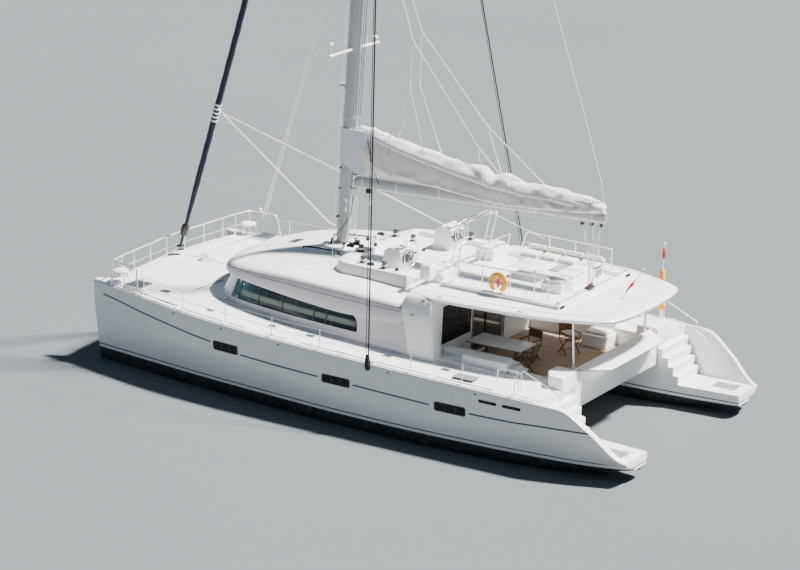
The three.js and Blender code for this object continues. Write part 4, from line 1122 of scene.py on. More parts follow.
class BOAT_OT_deck(bpy.types.Operator):
    """Lays the non-skid panels and adds hatches, cleats, bow seats and small deck fittings"""

    bl_idname = "boat.deck"
    bl_label = "Deck and foredeck"

    def execute(self, context):
        panels = Piece()
        for front, back in DECK_PANELS:
            def on_side_deck(u, v):
                x = mix(front, back, u)
                inner = max(hull_at(x, "inner_deck") + 0.1, min(house_half(x) + 0.12, 4.2))
                y = mix(inner, hull_at(x, "gunwale") - 0.28, v)
                return (x, y, deck_z(x, y) + 0.008 * math.sin(math.pi * v) + 0.007)
            panels.add(sheet_of(on_side_deck, 10, 3, 0.012))
        panels.mirror()
        for front, back, half in FOREDECK_PANELS:
            for side0, side1 in ((-1.0, -0.03), (0.03, 1.0)):
                def on_foredeck(u, v):
                    t = mix(side0, side1, v)
                    x = mix(front, back, u) + 0.12 * (1 - t * t)
                    return (x, t * half, foredeck_z(x, t * half) + 0.005)
                panels.add(sheet_of(on_foredeck, 8, 10, 0.01))
        panels.done("nonskid_panels", "nonskid")

        rim = Piece(box_of(7.52, 8.22, 3.25, 3.95, 2.06, 2.235, 0.03, 3))
        rim.pair("hatch_frame_{}_rim", "gelcoat", "hatch_frame_{}")
        lid = Piece(box_of(7.55, 8.19, 3.28, 3.92, 2.2353, 2.258, 0.02, 3))
        lid.pair("hatch_lid_{}_glass", "hatch_glass", "hatch_lid_{}", "bow_hatch_{}")
        edge = [(7.575, 3.305, 2.262), (8.165, 3.305, 2.262), (8.165, 3.895, 2.262), (7.575, 3.895, 2.262)]
        trim = Piece(tube_of(edge, 0.008, 8, closed=True))
        trim.add(*(rod_of((8.12, y, 2.262), (8.12, y + 0.06, 2.262), 0.018, sides=10) for y in (3.5, 3.7)))
        trim.pair("hatch_trim_{}", "steel", body="bow_hatch_{}")

        flush = Piece()
        for x, y, size in FLUSH_HATCHES:
            z = deck_z(x, y) + 0.012
            flush.add(box_of(x - size, x + size, y - size * 0.8, y + size * 0.8, z - 0.03, z + 0.01, 0.02, 3))
        flush.mirror().add(box_of(6.4, 6.75, -0.3, 0.3, 2.19, 2.225, 0.02, 3))
        flush.done("flush_hatches", "hatch_glass")

        cleats = Piece()
        for x in CLEATS:
            y = hull_at(x, "gunwale") - 0.14
            z = deck_z(x, y)
            for foot in (x - 0.06, x + 0.06):
                cleats.add(rod_of((foot, y, z), (foot, y, z + 0.07), 0.02, sides=10))
            bar = [(-0.16, 0.085), (-0.08, 0.072), (0.08, 0.072), (0.16, 0.085)]
            cleats.add(tube_of([(x + along, y, z + up) for along, up in bar], 0.017, 8, 0.04))
        socket = [(-0.02, 0.0), (-0.02, 0.045), (0.012, 0.045), (0.03, 0.022), (0.09, 0.018), (0.09, 0.0)]
        for x in (7.56, *LINE_POSTS):
            y = hull_at(x, "gunwale") - LINE_INSET
            cleats.add(lathe_of(socket, (x, y, deck_z(x, y)), steps=12))
        cleats.mirror().done("cleats_and_sockets", "steel")

        # dark rubber tubes painted as the shadow along the raised foredeck's edges
        seams_and_shade_lines = Piece(*(tube_of([(x, y, foredeck_z(x, y) + 0.006) for x, y in run], 0.012, 6)
                        for run in FOREDECK_SHADE_LINES))
        seams_and_shade_lines.mirror().done("deck_shade_lines", "rubber")

        pad = lathe_of([(0.0, 0.0), (0.0, 0.205), (0.02, 0.235), (0.05, 0.24), (0.08, 0.215), (0.095, 0.13),
                        (0.1, 0.0)], (0, 0, 0), steps=28)
        bmesh.ops.scale(pad, vec=(1.0, 1.15, 1.0), verts=pad.verts)
        bmesh.ops.translate(pad, vec=(8.54, 3.6, 2.5), verts=pad.verts)
        Piece(pad).mirror().done("bow_seat_pads", "cushion")
        legs = Piece()
        for path in ([(8.72, 3.4, 2.14), (8.6, 3.5, 2.5), (8.36, 3.7, 2.5), (8.28, 3.8, 2.14)],
                     [(8.82, 3.78, 2.14), (8.66, 3.72, 2.5), (8.4, 3.5, 2.5), (8.32, 3.44, 2.14)]):
            legs.add(tube_of(path, 0.016, 10, 0.08))
        legs.mirror().add(rod_of((8.7, 3.02, 2.15), (8.76, 3.02, 2.42), 0.03, sides=10))
        legs.done("bow_seat_legs", "steel")

        drum = [(0.0, 0.0), (0.0, 0.12), (0.03, 0.12), (0.05, 0.075), (0.14, 0.07), (0.17, 0.1), (0.2, 0.1),
                (0.22, 0.06), (0.22, 0.0)]
        gypsy = [(0.0, 0.0), (0.0, 0.09), (0.06, 0.09), (0.1, 0.06), (0.1, 0.0)]
        windlass = Piece(box_of(7.6, 8.05, -0.28, 0.28, 2.2, 2.235, 0.02, 3),
                         lathe_of(drum, (7.82, 0.12, 2.235)), lathe_of(gypsy, (7.82, -0.14, 2.235)),
                         box_of(8.5, 9.1, -0.05, 0.05, 2.17, 2.21, 0.012))
        windlass.done("windlass", "steel")

        lamp = Piece(ball_of((8.35, -3.98, 2.98), 0.07, (1, 1, 0.8)), ball_of((8.35, 3.98, 2.94), 0.04),
                     rod_of((8.35, -3.98, 2.9), (8.35, -3.98, 2.96), 0.03, sides=10))
        lamp.done("bow_lamp", "gelcoat")
        return {"FINISHED"}


# The flybridge guard rail: y, forward end, aft end and height
GUARD_RAIL = (2.15, -2.3, -5.45, 4.52)


class BOAT_OT_rails(bpy.types.Operator):
    """Replaces the pulpit, life lines and flybridge rails with bent tubes, wires and fittings"""

    bl_idname = "boat.rails"
    bl_label = "Rails and life lines"

    def execute(self, context):
        half = [(7.56, 4.11, 2.04), (7.7, 3.98, RAIL_Z), (8.33, 3.98, RAIL_Z), (8.7, 3.89, RAIL_Z),
                (8.81, 3.2, RAIL_Z), (8.85, 2.5, RAIL_Z), (8.92, 1.5, RAIL_Z), (8.99, 0.5, RAIL_Z)]
        middle = [(x - 0.01, y, 2.52) for x, y, z in half[3:]]
        rail = Piece()
        for run, radius, sides, bend in ((half, 0.025, 12, 0.16), (middle, 0.012, 8, 0.1)):
            rail.add(tube_of(run + [(x, -y, z) for x, y, z in reversed(run)], radius, sides, bend))
        for x, y, _ in half[3:]:
            for side in (y, -y):
                rail.add(rod_of((x - 0.02, side, 2.1), (x, side, RAIL_Z), 0.02, sides=12),
                         rod_of((x - 0.02, side, 2.13), (x - 0.02, side, 2.19), 0.032, sides=12))
        rail.done("front_rail_tubes", "steel", "front_rail")

        lines = Piece()
        heads = []
        for x in LINE_POSTS:
            y = hull_at(x, "gunwale") - LINE_INSET
            z = deck_z(x, y)
            lines.add(rod_of((x, y, z - 0.02), (x, y, z + 0.63), 0.0135, sides=12),
                      ball_of((x, y, z + 0.63), 0.016, segments=10))
            heads.append(Vector((x, y, z)))
        for up in (0.32, 0.61):
            rise = Vector((0, 0, up))
            for start, end in zip(heads, heads[1:]):
                lines.add(rod_of(start + rise, end + rise, 0.005, sides=6))
        lines.add(rod_of(heads[0] + rise, (7.69, 3.985, 2.72), 0.005, sides=6))
        lines.pair("lifeline_{}_wires", "steel", "lifeline_{}")

        y, front, back, top = GUARD_RAIL
        guard = Piece(tube_of([(front, y, 3.85), (front - 0.18, y, top), (back, y - 0.1, top),
                               (back, y - 0.1, 3.85)], 0.021, 12, 0.1),
                      rod_of((front - 0.1, y, 4.19), (back, y - 0.1, 4.19), 0.006, sides=8))
        for x in (-3.3, -4.2, -5.0):
            near = y - 0.1 * (front - x) / (front - back)
            guard.add(rod_of((x, near, 3.85), (x, near, top), 0.017, sides=12),
                      rod_of((x, near, 3.852), (x, near, 3.88), 0.035, sides=12))
        for x, near in ((front, y), (back, y - 0.1)):
            guard.add(rod_of((x, near, 3.852), (x, near, 3.88), 0.035, sides=12))
        guard.pair("guard_rail_{}_tubes", "steel", "guard_rail_{}")

        hoops = Piece()
        for x in (-1.88, -2.08):
            path = [(x + 0.33, 0.95, 3.72), (x + 0.04, 0.95, 5.25), (x, 0.86, 5.39), (x, -0.86, 5.39),
                    (x + 0.04, -0.95, 5.25), (x + 0.33, -0.95, 3.72)]
            hoops.add(tube_of(path, 0.022, 12, 0.14))
        for y in (0.95, -0.95):
            for front, z in ((-1.7, 4.5), (-1.84, 5.25)):
                hoops.add(rod_of((front, y, z), (front - 0.2, y, z), 0.014, sides=10))
            for x in (-1.55, -1.75):
                hoops.add(rod_of((x, y, 3.722), (x, y, 3.76), 0.035, sides=12))
        hoops.add(rod_of((-1.95, -0.9, 5.25), (-3.15, -2.1, 4.4), 0.007, sides=6))
        hoops.done("bimini_hoops", "steel", "bimini_frame")
        return {"FINISHED"}


# Deckhouse, coachroof and hardtop

HOUSE_FOOT_Z = 1.9
HOUSE_ROOF_Z = 2.75
HOUSE_NOSE_X = 6.38
HOUSE_RAKE = 0.43
SILL_Z = 2.2
WINDOW_AFT_X = 0.02
WINDOW_CORNER = 0.42
# x of the window's pillars
MULLIONS = (1.19, 1.66, 2.87, 3.84, 4.75, 5.5, 6.1)
# share of the brow's height and of its width, from the roof's edge to the head of the window
BROW = ((0.0, 0.0), (0.12, 0.3), (0.35, 0.62), (0.7, 0.88), (0.93, 1.0), (1.0, 0.97))
WING = Table("z y front back", [
    (1.8, 3.79, -1.87, -2.74), (2.3, 3.7, -1.72, -2.62), (2.75, 3.64, -1.58, -2.56),
    (3.06, 3.615, -1.49, -2.52), (3.2, 3.59, -1.45, -2.5), (3.4, 3.53, -1.44, -2.47),
    (3.55, 3.465, -1.48, -2.45), (3.63, 3.41, -1.52, -2.44), (3.65, 3.35, -1.56, -2.42),
])
WING_INNER_Y = 3.28
WING_HEIGHTS = (1.8, 1.95, 2.15, 2.35, 2.55, 2.75, 2.9, 3.06, 3.13, 3.2, 3.3, 3.4, 3.48, 3.55, 3.6,
                3.63, 3.65)


def house_share(x):
    """The share of the way along the deckhouse plan at which its side reaches x."""
    return 1 - (1 - lie((x - BULKHEAD_X) / (HOUSE_NOSE_X - BULKHEAD_X))) ** (1 / 1.9)


def house_point(share, height, inset=0.0):
    """A point on the deckhouse's port side, from its aft end (0) to the nose (1)."""
    t = (height - HOUSE_FOOT_Z) / (HOUSE_ROOF_Z - HOUSE_FOOT_Z)
    x = mix(BULKHEAD_X, HOUSE_NOSE_X, 1 - (1 - share) ** 1.9)
    half = mix(HOUSE.read(x, "low"), HOUSE.read(x, "high"), t) - inset
    back = HOUSE_RAKE * t * lie((x - 3.9) / 2.4) ** 1.5 + inset * lie((x - 3.7) / 2)
    return (x - back, max(half, 0.02), height)


def house_half(x):
    """Half the deckhouse's width at the deck, or none ahead of it."""
    return HOUSE.read(x, "low") if x < HOUSE_NOSE_X else 0.0


def house_outline(height, inset=0.0):
    """The deckhouse plan at a height, from the aft port corner round the nose to the other side."""
    count = 56
    port = [house_point(i / count, height, inset) for i in range(count)]
    t = (height - HOUSE_FOOT_Z) / (HOUSE_ROOF_Z - HOUSE_FOOT_Z)
    nose = (HOUSE_NOSE_X - HOUSE_RAKE * t - inset, 0.0, height)
    return port + [nose] + [(x, -y, z) for x, y, z in reversed(port)]


def window_tool():
    """What the wrap window leaves out of the wall, with a rounded upper corner at its aft end."""
    outline = [(7.4, SILL_Z), (WINDOW_AFT_X, SILL_Z)]
    for step in range(8):
        turn = math.pi / 2 * step / 7
        outline.append((WINDOW_AFT_X + WINDOW_CORNER * (1 - math.cos(turn)),
                        2.3 + WINDOW_CORNER * math.sin(turn)))
    outline += [(WINDOW_AFT_X + 0.5, 3.2), (7.4, 3.2)]
    return plate_of([(x, -4.4, z) for x, z in outline], (0, 8.8, 0))


def brow_point(x, share):
    """A point on the brow's face, from the roof's edge (0) to the head of the window (1)."""
    for (s0, o0), (s1, o1) in zip(BROW, BROW[1:]):
        if share <= s1:
            out = mix(o0, o1, (share - s0) / (s1 - s0))
            break
    y = mix(ROOF.read(x, "brow"), ROOF.read(x, "foot"), out)
    return (x, y, mix(ROOF.read(x, "brow_z"), ROOF.read(x, "foot_z"), share))


def wing_ring(z):
    """The wing's section at a height: smooth outside, with both edges turned inwards."""
    y, front, back = (WING.read(z, name) for name in WING.names[1:])
    ring = [(front, WING_INNER_Y), (front, y - 0.05), (front - 0.015, y - 0.015), (front - 0.05, y)]
    ring += [(mix(front - 0.05, back + 0.1, t), y) for t in (0.25, 0.5, 0.75, 1.0)]
    ring += [(back + 0.05, y - 0.01), (back + 0.015, y - 0.035), (back, y - 0.08), (back, WING_INNER_Y)]
    return [(x, side, z) for x, side in ring]


class BOAT_OT_deckhouse(bpy.types.Operator):
    """Builds the deckhouse wall, the dark window that wraps it, its pillars, the grey brow and the wings"""

    bl_idname = "boat.deckhouse"
    bl_label = "Deckhouse"

    def execute(self, context):
        heights = (1.86, 1.95, 2.1, SILL_Z - 0.01, SILL_Z + 0.05, 2.4, 2.6, 2.75)
        wall = loft_of([house_outline(z) + house_outline(z, 0.07)[::-1] for z in heights])
        Piece(carved(wall, window_tool())).done("deckhouse_shell", "house_wall", "deckhouse_wall")

        first = next(i for i, p in enumerate(house_outline(SILL_Z)) if p[0] > WINDOW_AFT_X - 0.15)
        rows = [house_outline(z, 0.03)[first:-first] for z in (2.18, 2.35, 2.5, 2.65, 2.8, 2.9)]
        Piece(panel_of(rows, 0.012)).done("window_glass", "glass", "window_band")

        pillars = Piece()
        for x in MULLIONS:
            line = [house_point(house_share(x), z, 0.024) for z in (2.19, 2.35, 2.55, 2.75, 2.88)]
            pillars.add(tube_of(line, 0.02, 8))
        pillars.mirror().done("window_pillars", "dark_trim")
        shares = [house_share(5.12 + 0.12 * i) for i in range(8)]
        rows = [[house_point(share, z, 0.004) for share in shares] for z in (2.17, 2.4, 2.6, 2.78, 2.9)]
        Piece(panel_of(rows, 0.02)).mirror().done("window_corner_panels", "house_wall")
        sill = [house_point(house_share(0.06 + 0.2 * i), SILL_Z + 0.012, 0.012) for i in range(31)]
        Piece(tube_of(sill, 0.012, 8)).mirror().done("window_seal", "rubber")

        places = [-1.42 + 0.3 * i for i in range(24)] + [5.72, 5.9, 6.0, 6.08, 6.14, 6.18, 6.2]
        shares = (0.1, 0.2, 0.35, 0.55, 0.75, 0.93, 1.0)
        face = panel_of([[brow_point(x - 0.13 * share if x < -1.3 else x, share) for share in shares]
                         for x in places], 0.01)
        for vertex in face.verts:
            vertex.co.y += 0.009
            vertex.co.x += 0.012 * lie((vertex.co.x - 5.2) / 0.8)
        Piece(face).mirror().done("brow_face", "band_grey")
        # dark tubes along the brow: painted shade in the grooves at the brow's edge
        groove = Piece()
        for share, out, radius in ((0.07, (0.01, 0.006, 0), 0.013), (0.3, (0.012, 0.008, 0), 0.009)):
            groove.add(tube_of([Vector(brow_point(x, share)) + Vector(out) for x in places], radius, 6))
        groove.mirror().done("brow_groove_shade", "shade_dark")

        wing = Piece(loft_of([wing_ring(z) for z in WING_HEIGHTS]))
        wing.pair("wing_{}_panel", "gelcoat", "wing_{}")
        vents = Piece()
        for x, z, long in ((-1.85, 3.1, 0.07), (-2.12, 3.56, 0.06), (-2.32, 3.5, 0.06)):
            y = WING.read(z, "y")
            vents.add(box_of(x - long, x + long, y - 0.02, y + 0.008, z - 0.018, z + 0.018, 0.006))
        vents.mirror().done("wing_vents", "shade_dark")
        return {"FINISHED"}


def roof_ring(x):
    """The coachroof's section: a crowned top, a brow that leans out and down, and a flat soffit."""
    foot, brow, foot_z, brow_z, crown_z = (ROOF.read(x, name) for name in ROOF.names[1:])
    ring = []
    count = 28
    for i in range(count + 1):
        t = math.sin(math.pi / 2 * (2 * i / count - 1))
        ring.append((x, t * brow, mix(brow_z, crown_z, math.sqrt(max(0.0, 1 - t * t)))))
    ring += [(x, mix(brow, foot, out), mix(brow_z, foot_z, share)) for share, out in BROW[1:]]
    for t in (0.9, 0.6, 0.3, 0.0, -0.3, -0.6, -0.9):
        under = max(foot_z, mix(foot_z, crown_z - 0.09, min(1.0, 1.25 * (1 - t * t))))
        ring.append((x, t * (foot - 0.12), under))
    ring += [(x, -mix(brow, foot, out), mix(brow_z, foot_z, share)) for share, out in reversed(BROW[1:])]
    return ring


class BOAT_OT_coachroof(bpy.types.Operator):
    """Builds the crowned coachroof with the pad under the mast and the roof's fittings"""

    bl_idname = "boat.coachroof"
    bl_label = "Coachroof"

    def execute(self, context):
        places = [-2.4 + 0.35 * i for i in range(19)]
        places += [4.1, 4.5, 4.9, 5.2, 5.45, 5.65, 5.82, 5.95, 6.05, 6.12, 6.17, 6.2]
        Piece(loft_of([roof_ring(x) for x in places])).done("coachroof_shell", "gelcoat", "coachroof")
        pad = [[(2.76 + r * math.cos(a), 1.1 * r * math.sin(a), z) for a in turns_of(36)]
               for r, z in ((0.62, 3.6), (0.6, 3.675), (0.56, 3.69), (0.3, 3.693))]
        Piece(loft_of(pad)).done("mast_pad", "gelcoat")
        hatches = Piece()
        for x, y, long, wide in ((3.35, -1.35, 0.5, 0.3), (4.45, 0.0, 0.3, 0.5), (-0.95, 2.75, 0.16, 0.3)):
            def on_roof(u, v):
                place = (x + long * (u - 0.5), y + wide * (v - 0.5))
                return (*place, roof_z(*place) + 0.012)
            hatches.add(sheet_of(on_roof, 4, 4, 0.03))
        hatches.done("roof_hatch", "hatch_glass")
        rail = Piece()
        run = [(3.64 - 1.41 * i / 6, 0.88 + 0.21 * i / 6) for i in range(7)]
        for side in (1, -1):
            ends = [(x, side * y, roof_z(x, y) + 0.075) for x, y in run]
            low = [(x, side * y, roof_z(x, y) - 0.01) for x, y in (run[0], run[-1])]
            rail.add(tube_of([low[0], *ends, low[1]], 0.024, 8))
        rail.done("mast_way_rails", "rubber")
        return {"FINISHED"}


def hardtop_outline(inset):
    """The flybridge deck's plan, pulled in evenly, from the front port corner round the aft end."""
    port = []
    for i in range(40):
        x = mix(-1.5, -7.9, 1 - (1 - i / 40) ** 1.7)
        port.append(Vector((x, HARDTOP.read(x, "half"), 0)))
    path = port + [Vector((-7.9, 0, 0))] + [Vector((p.x, -p.y, 0)) for p in reversed(port)]
    moved = []
    for i, point in enumerate(path):
        along = (path[min(i + 1, len(path) - 1)] - path[max(i - 1, 0)]).normalized()
        moved.append(point + Vector((-along.y, along.x, 0)) * inset)
    return moved


class BOAT_OT_hardtop(bpy.types.Operator):
    """Builds the flybridge deck with its rounded edge, side rims, painted shade in its grooves, lights,
    soffit and posts
    """

    bl_idname = "boat.hardtop"
    bl_label = "Hardtop"

    def execute(self, context):
        edge = ((0.3, 3.5), (0.14, 3.52), (0.04, 3.56), (0.0, 3.61), (0.03, 3.66), (0.1, 3.7), (0.2, 3.72),
                (0.4, 3.722))
        deck = Piece(loft_of([[(p.x, p.y, z) for p in hardtop_outline(inset)] for inset, z in edge]))
        # dark tubes: painted shade in the groove round the deck's edge, and along the rims and the deck
        groove = Piece(tube_of([(p.x, p.y + (0.004 if p.y > 0 else -0.004), 3.635)
                                for p in hardtop_outline(0.0)], 0.01, 6))
        for side in (1, -1):
            y0, y1 = sorted((side * 1.96, side * 2.34))
            deck.add(box_of(-5.98, -2.0, y0, y1, 3.65, 3.85, 0.035, 4))
            groove.add(tube_of([(-2.1, side * 2.345, 3.76), (-5.9, side * 2.345, 3.76)], 0.008, 6))
            groove.add(tube_of([(x, side * (HARDTOP.read(x, "half") - 0.3), 3.724)
                                for x in (-1.7, -2.5, -3.5, -4.5, -5.5, -6.3, -7.0)], 0.009, 6))
        deck.add(box_of(-5.98, -5.76, -2.34, 2.34, 3.65, 3.84, 0.03, 3))
        deck.done("hardtop_shell", "gelcoat", "hardtop")
        groove.done("hardtop_groove_shade", "shade_dark")

        lights = Piece()
        for x in (-2.55, -5.1):
            y = HARDTOP.read(x, "half")
            lights.add(box_of(x - 0.08, x + 0.08, y - 0.13, y - 0.09, 3.69, 3.712, 0.006))
        lights.mirror().done("edge_lights", "dark_trim")

        Piece(box_of(-5.7, -2.5, -1.9, 1.9, 3.72, 3.727, 0.003, 1)).done("flybridge_sole", "nonskid")
        # the headlining takes gelcoat painted darker, as painted shade
        lining = [(-2.5, 2.9), (-5.6, 2.65), (-7.2, 1.9), (-7.2, -1.9), (-5.6, -2.65), (-2.5, -2.9)]
        lining = plate_of([(x, y, 3.497) for x, y in lining], (0, 0, -0.02), 0.006)
        Piece(lining).done("cockpit_headlining", "headliner_shade")
        lamps = Piece(*(rod_of((x, y, 3.478), (x, y, 3.468), 0.05) for x in (-3.2, -4.6, -6.0)
                        for y in (-1.6, 0.0, 1.6)))
        lamps.done("downlights", "steel")

        post = Piece(rod_of((-6.56, 2.35, 2.08), (-6.5, 2.45, 3.54), 0.03, sides=20),
                     rod_of((-6.56, 2.35, 2.1), (-6.56, 2.35, 2.13), 0.06, sides=20),
                     rod_of((-6.5, 2.448, 3.48), (-6.5, 2.45, 3.51), 0.06, sides=20))
        post.pair("post_{}_tube", "steel", "post_{}")
        return {"FINISHED"}


# Spars, sails and ropes

SPREADERS = ((13.0, 1.5), (20.5, 1.2))
CROSSBAR_Z = 9.8
MAST_LAMP_Z = 8.6
# distance along the axis and radius, of a winch of size 1
WINCH_PROFILE = [(0.0, 0.0), (0.0, 0.085), (0.02, 0.09), (0.035, 0.075), (0.05, 0.055), (0.1, 0.05),
                 (0.14, 0.058), (0.155, 0.07), (0.17, 0.072), (0.18, 0.06), (0.185, 0.03), (0.19, 0.0)]


def mast_ring(z, scale, grow=0.0, count=28):
    """The mast's pear-shaped section, flatter on its aft side."""
    ring = []
    for turn in turns_of(count):
        blunt = 1.0 if math.cos(turn) > 0 else 0.92
        ring.append((mast_x(z) + (0.23 * scale * blunt + grow) * math.cos(turn),
                     (0.14 * scale + grow) * math.sin(turn), z))
    return ring


class BOAT_OT_mast(bpy.types.Operator):
    """Builds the mast with its track, spreaders, antenna bar, winches and fittings"""

    bl_idname = "boat.mast"
    bl_label = "Mast"

    def execute(self, context):
        stages = ((3.72, 1), (6, 1), (12, 1), (18, 1), (24, 1), (27, 0.88), (30, 0.7), (31.2, 0.6))
        mast = Piece(loft_of([mast_ring(z, scale) for z, scale in stages]))
        for z, reach in SPREADERS:
            x = mast_x(z)
            for side in (-1, 1):
                tip = (x - 0.35, side * reach, z + 0.06)
                mast.add(rod_of((x - 0.05, 0, z), tip, 0.06, 0.035), ball_of(tip, 0.045),
                         rod_of((x - 0.02, side * 0.1, z - 0.01), (x - 0.07, side * 0.24, z + 0.01), 0.08))
        x = mast_x(HOUNDS_Z)
        mast.add(rod_of((x, -0.18, HOUNDS_Z), (x, 0.18, HOUNDS_Z), 0.06),
                 rod_of((x, 0, HOUNDS_Z), (x + 0.26, 0, HOUNDS_Z), 0.05))
        for height in (5.485, 5.915):
            mast.add(box_of(2.36, 2.56, -0.075, 0.075, height - 0.02, height + 0.02, 0.006))
        for z, out in ((4.3, 0.008), (7.62, 0.01)):
            band = ((z, 0), (z + 0.01, out), (z + 0.1, out), (z + 0.11, 0))
            mast.add(loft_of([mast_ring(height, 1, grow) for height, grow in band]))
        mast.done("mast_tube", "mast_grey", "mast")

        groove = ((0.205, -0.028), (0.245, -0.028), (0.245, 0.028), (0.205, 0.028))
        fittings = Piece(loft_of([[(mast_x(z) - back, y, z) for back, y in groove]
                                  for z in (6.05, 10, 15, 20, 26, 29.5)]))
        for z in (4.75, 5.05):
            fittings.add(box_of(2.58, 2.66, 0.12, 0.16, z, z + 0.16, 0.012))
        for y in (-0.132, 0.132):
            for z in (11.9, 12.5, 16.2):
                x = mast_x(z)
                fittings.add(box_of(x - 0.03, x + 0.03, y - 0.012, y + 0.012, z, z + 0.22, 0.008))
        fittings.add(rod_of((mast_x(31.2), 0.09, 31.1), (mast_x(31.2), 0.09, 32.4), 0.01),
                     box_of(mast_x(31.1) - 0.3, mast_x(31.1) + 0.35, -0.03, 0.03, 31.19, 31.25, 0.01))
        fittings.done("mast_fittings", "steel")

        x, z = mast_x(CROSSBAR_Z), CROSSBAR_Z
        bar = Piece(tube_of([(x, -1.4, z), (x, -0.5, z + 0.01), (x, 0.5, z + 0.01), (x, 1.4, z)], 0.045, 12),
                    ball_of((x, 1.4, z), 0.05), ball_of((x, -1.4, z), 0.05),
                    rod_of((x, 1.36, z), (x, 1.36, z + 0.34), 0.018),
                    ball_of((x, 1.36, z + 0.36), 0.075, (1, 1, 0.8)),
                    rod_of((x, -1.2, z), (x, -1.2, z + 0.16), 0.025),
                    rod_of((x, -0.75, z), (x, -0.75, z + 0.3), 0.012))
        dome = [(0, 0), (0, 0.09), (0.03, 0.11), (0.07, 0.1), (0.1, 0.05), (0.105, 0)]
        lamp = [(-0.035, 0), (-0.035, 0.1), (0.0, 0.13), (0.05, 0.13), (0.09, 0.08), (0.1, 0)]
        x = mast_x(MAST_LAMP_Z)
        bar.add(lathe_of(dome, (mast_x(z), -1.2, z + 0.15)), lathe_of(lamp, (x + 0.34, 0, MAST_LAMP_Z)),
                box_of(x + 0.1, x + 0.4, -0.05, 0.05, MAST_LAMP_Z - 0.07, MAST_LAMP_Z - 0.03, 0.01))
        bar.done("antenna_bar", "gelcoat")

        winches = Piece()
        for y, z, size in ((0.14, 4.55, 0.45), (0.14, 5.45, 0.35), (0.14, 6.1, 0.35), (-0.14, 4.6, 0.9)):
            profile = [(along * size, radius * size) for along, radius in WINCH_PROFILE]
            winches.add(lathe_of(profile, (mast_x(z) + 0.16, y * 0.8, z), (0, math.copysign(1, y), 0), 20))
        for x, y in ((2.5, 0.34), (2.36, 0.2), (2.32, -0.2), (2.5, -0.34), (2.95, 0.33), (3.08, 0.1),
                     (3.0, -0.3)):
            winches.add(box_of(x - 0.05, x + 0.05, y - 0.025, y + 0.025, 3.7, 3.82, 0.012),
                        rod_of((x, y - 0.03, 3.78), (x, y + 0.03, 3.78), 0.045, sides=14))
        winches.done("mast_winches", "winch_black")
        redress("mast_step", "mast_step_casting", "steel", 0.01)
        return {"FINISHED"}


BOOM_FRONT_X = 2.445
BOOM_LENGTH = 8.615


def boom_point(x, side, up):
    """A point of the boom's section at x: side and up run from -1 to 1."""
    back = BOOM_FRONT_X - x
    middle = mix(5.71, 6.03, back / BOOM_LENGTH)
    half = min(0.12, 0.04 + back * 0.6)
    return (x, side * half, middle + up * min(0.17, 0.1 + back * 0.55))


def boom_ring(x, scale=1.0):
    """The boom's section, a rounded square."""
    ring = []
    for turn in turns_of(28):
        side, up = (math.copysign(abs(v) ** 0.62, v) * scale for v in (math.cos(turn), math.sin(turn)))
        ring.append(boom_point(x, side, up))
    return ring


class BOAT_OT_boom(bpy.types.Operator):
    """Builds the boom with its end cap, straps, sheaves and rope line along the underside"""

    bl_idname = "boat.boom"
    bl_label = "Boom"

    def execute(self, context):
        tube = loft_of([boom_ring(x) for x in (2.44, 2.4, 2.35, 2.3, 2.2, 1.0, -1.0, -3.0, -5.0, -6.08)])
        Piece(tube).done("boom_tube", "mast_grey", "boom", "boom")
        cap = Piece(loft_of([boom_ring(x, s) for x, s in ((-6.06, 1.03), (-6.13, 1.03), (-6.17, 0.9))]))
        for x in (1.9, 0.1, -2.0, -4.0, -5.3):
            z = boom_point(x, 0, -1)[2]
            cap.add(box_of(x - 0.07, x + 0.07, -0.035, 0.035, z - 0.05, z + 0.01, 0.01))
        cap.done("boom_cap", "mast_grey", body="boom")
        sheaves = Piece()
        for x in (-5.4, -5.7, -6.0):
            z = boom_point(x, 0, -1)[2] - 0.08
            sheaves.add(rod_of((x, -0.03, z), (x, 0.03, z), 0.06))
        sheaves.add(box_of(1.82, 1.98, 0.01, 0.09, 5.42, 5.56, 0.02))
        sheaves.done("boom_sheaves", "winch_black", body="boom")
        straps = Piece()
        for x in (2.1, 0.9, -0.6, -2.2, -3.9, -5.75):
            straps.add(loft_of([boom_ring(x + d, 1.04) for d in (0.025, -0.025)]))
        hang = ((1.7, 0.03), (0.5, 0.09), (-1.0, 0.07), (-3.0, 0.1), (-4.6, 0.06), (-5.6, 0.02))
        straps.add(tube_of([Vector(boom_point(x, 0.3, -1)) - Vector((0, 0, drop)) for x, drop in hang],
                           0.014, 8))
        for x, low in ((2.0, 5.3), (1.86, 5.04), (1.7, 5.25)):
            straps.add(tube_of([(x, 0.02, 5.68), (x - 0.02, 0.04, low)], 0.03, 8))
        straps.done("boom_straps", "rope_white", body="boom", slot="canvas")
        return {"FINISHED"}


BAG = Table("x foot half ridge crest", [
    (2.3, 5.97, 0.17, 7.4, 7.47), (1.97, 6.0, 0.21, 7.38, 7.48), (0.9, 6.07, 0.31, 7.15, 7.28),
    (-0.1, 6.04, 0.33, 6.93, 7.13), (-1.56, 5.94, 0.33, 6.67, 6.9), (-2.1, 5.9, 0.33, 6.58, 6.93),
    (-2.42, 5.88, 0.32, 6.54, 6.72), (-2.86, 5.875, 0.32, 6.5, 6.84), (-3.5, 5.91, 0.31, 6.46, 6.66),
    (-4.41, 5.98, 0.3, 6.44, 6.68), (-5.2, 6.05, 0.27, 6.44, 6.58), (-5.9, 6.13, 0.22, 6.43, 6.52),
    (-6.1, 6.15, 0.16, 6.4, 6.45),
])
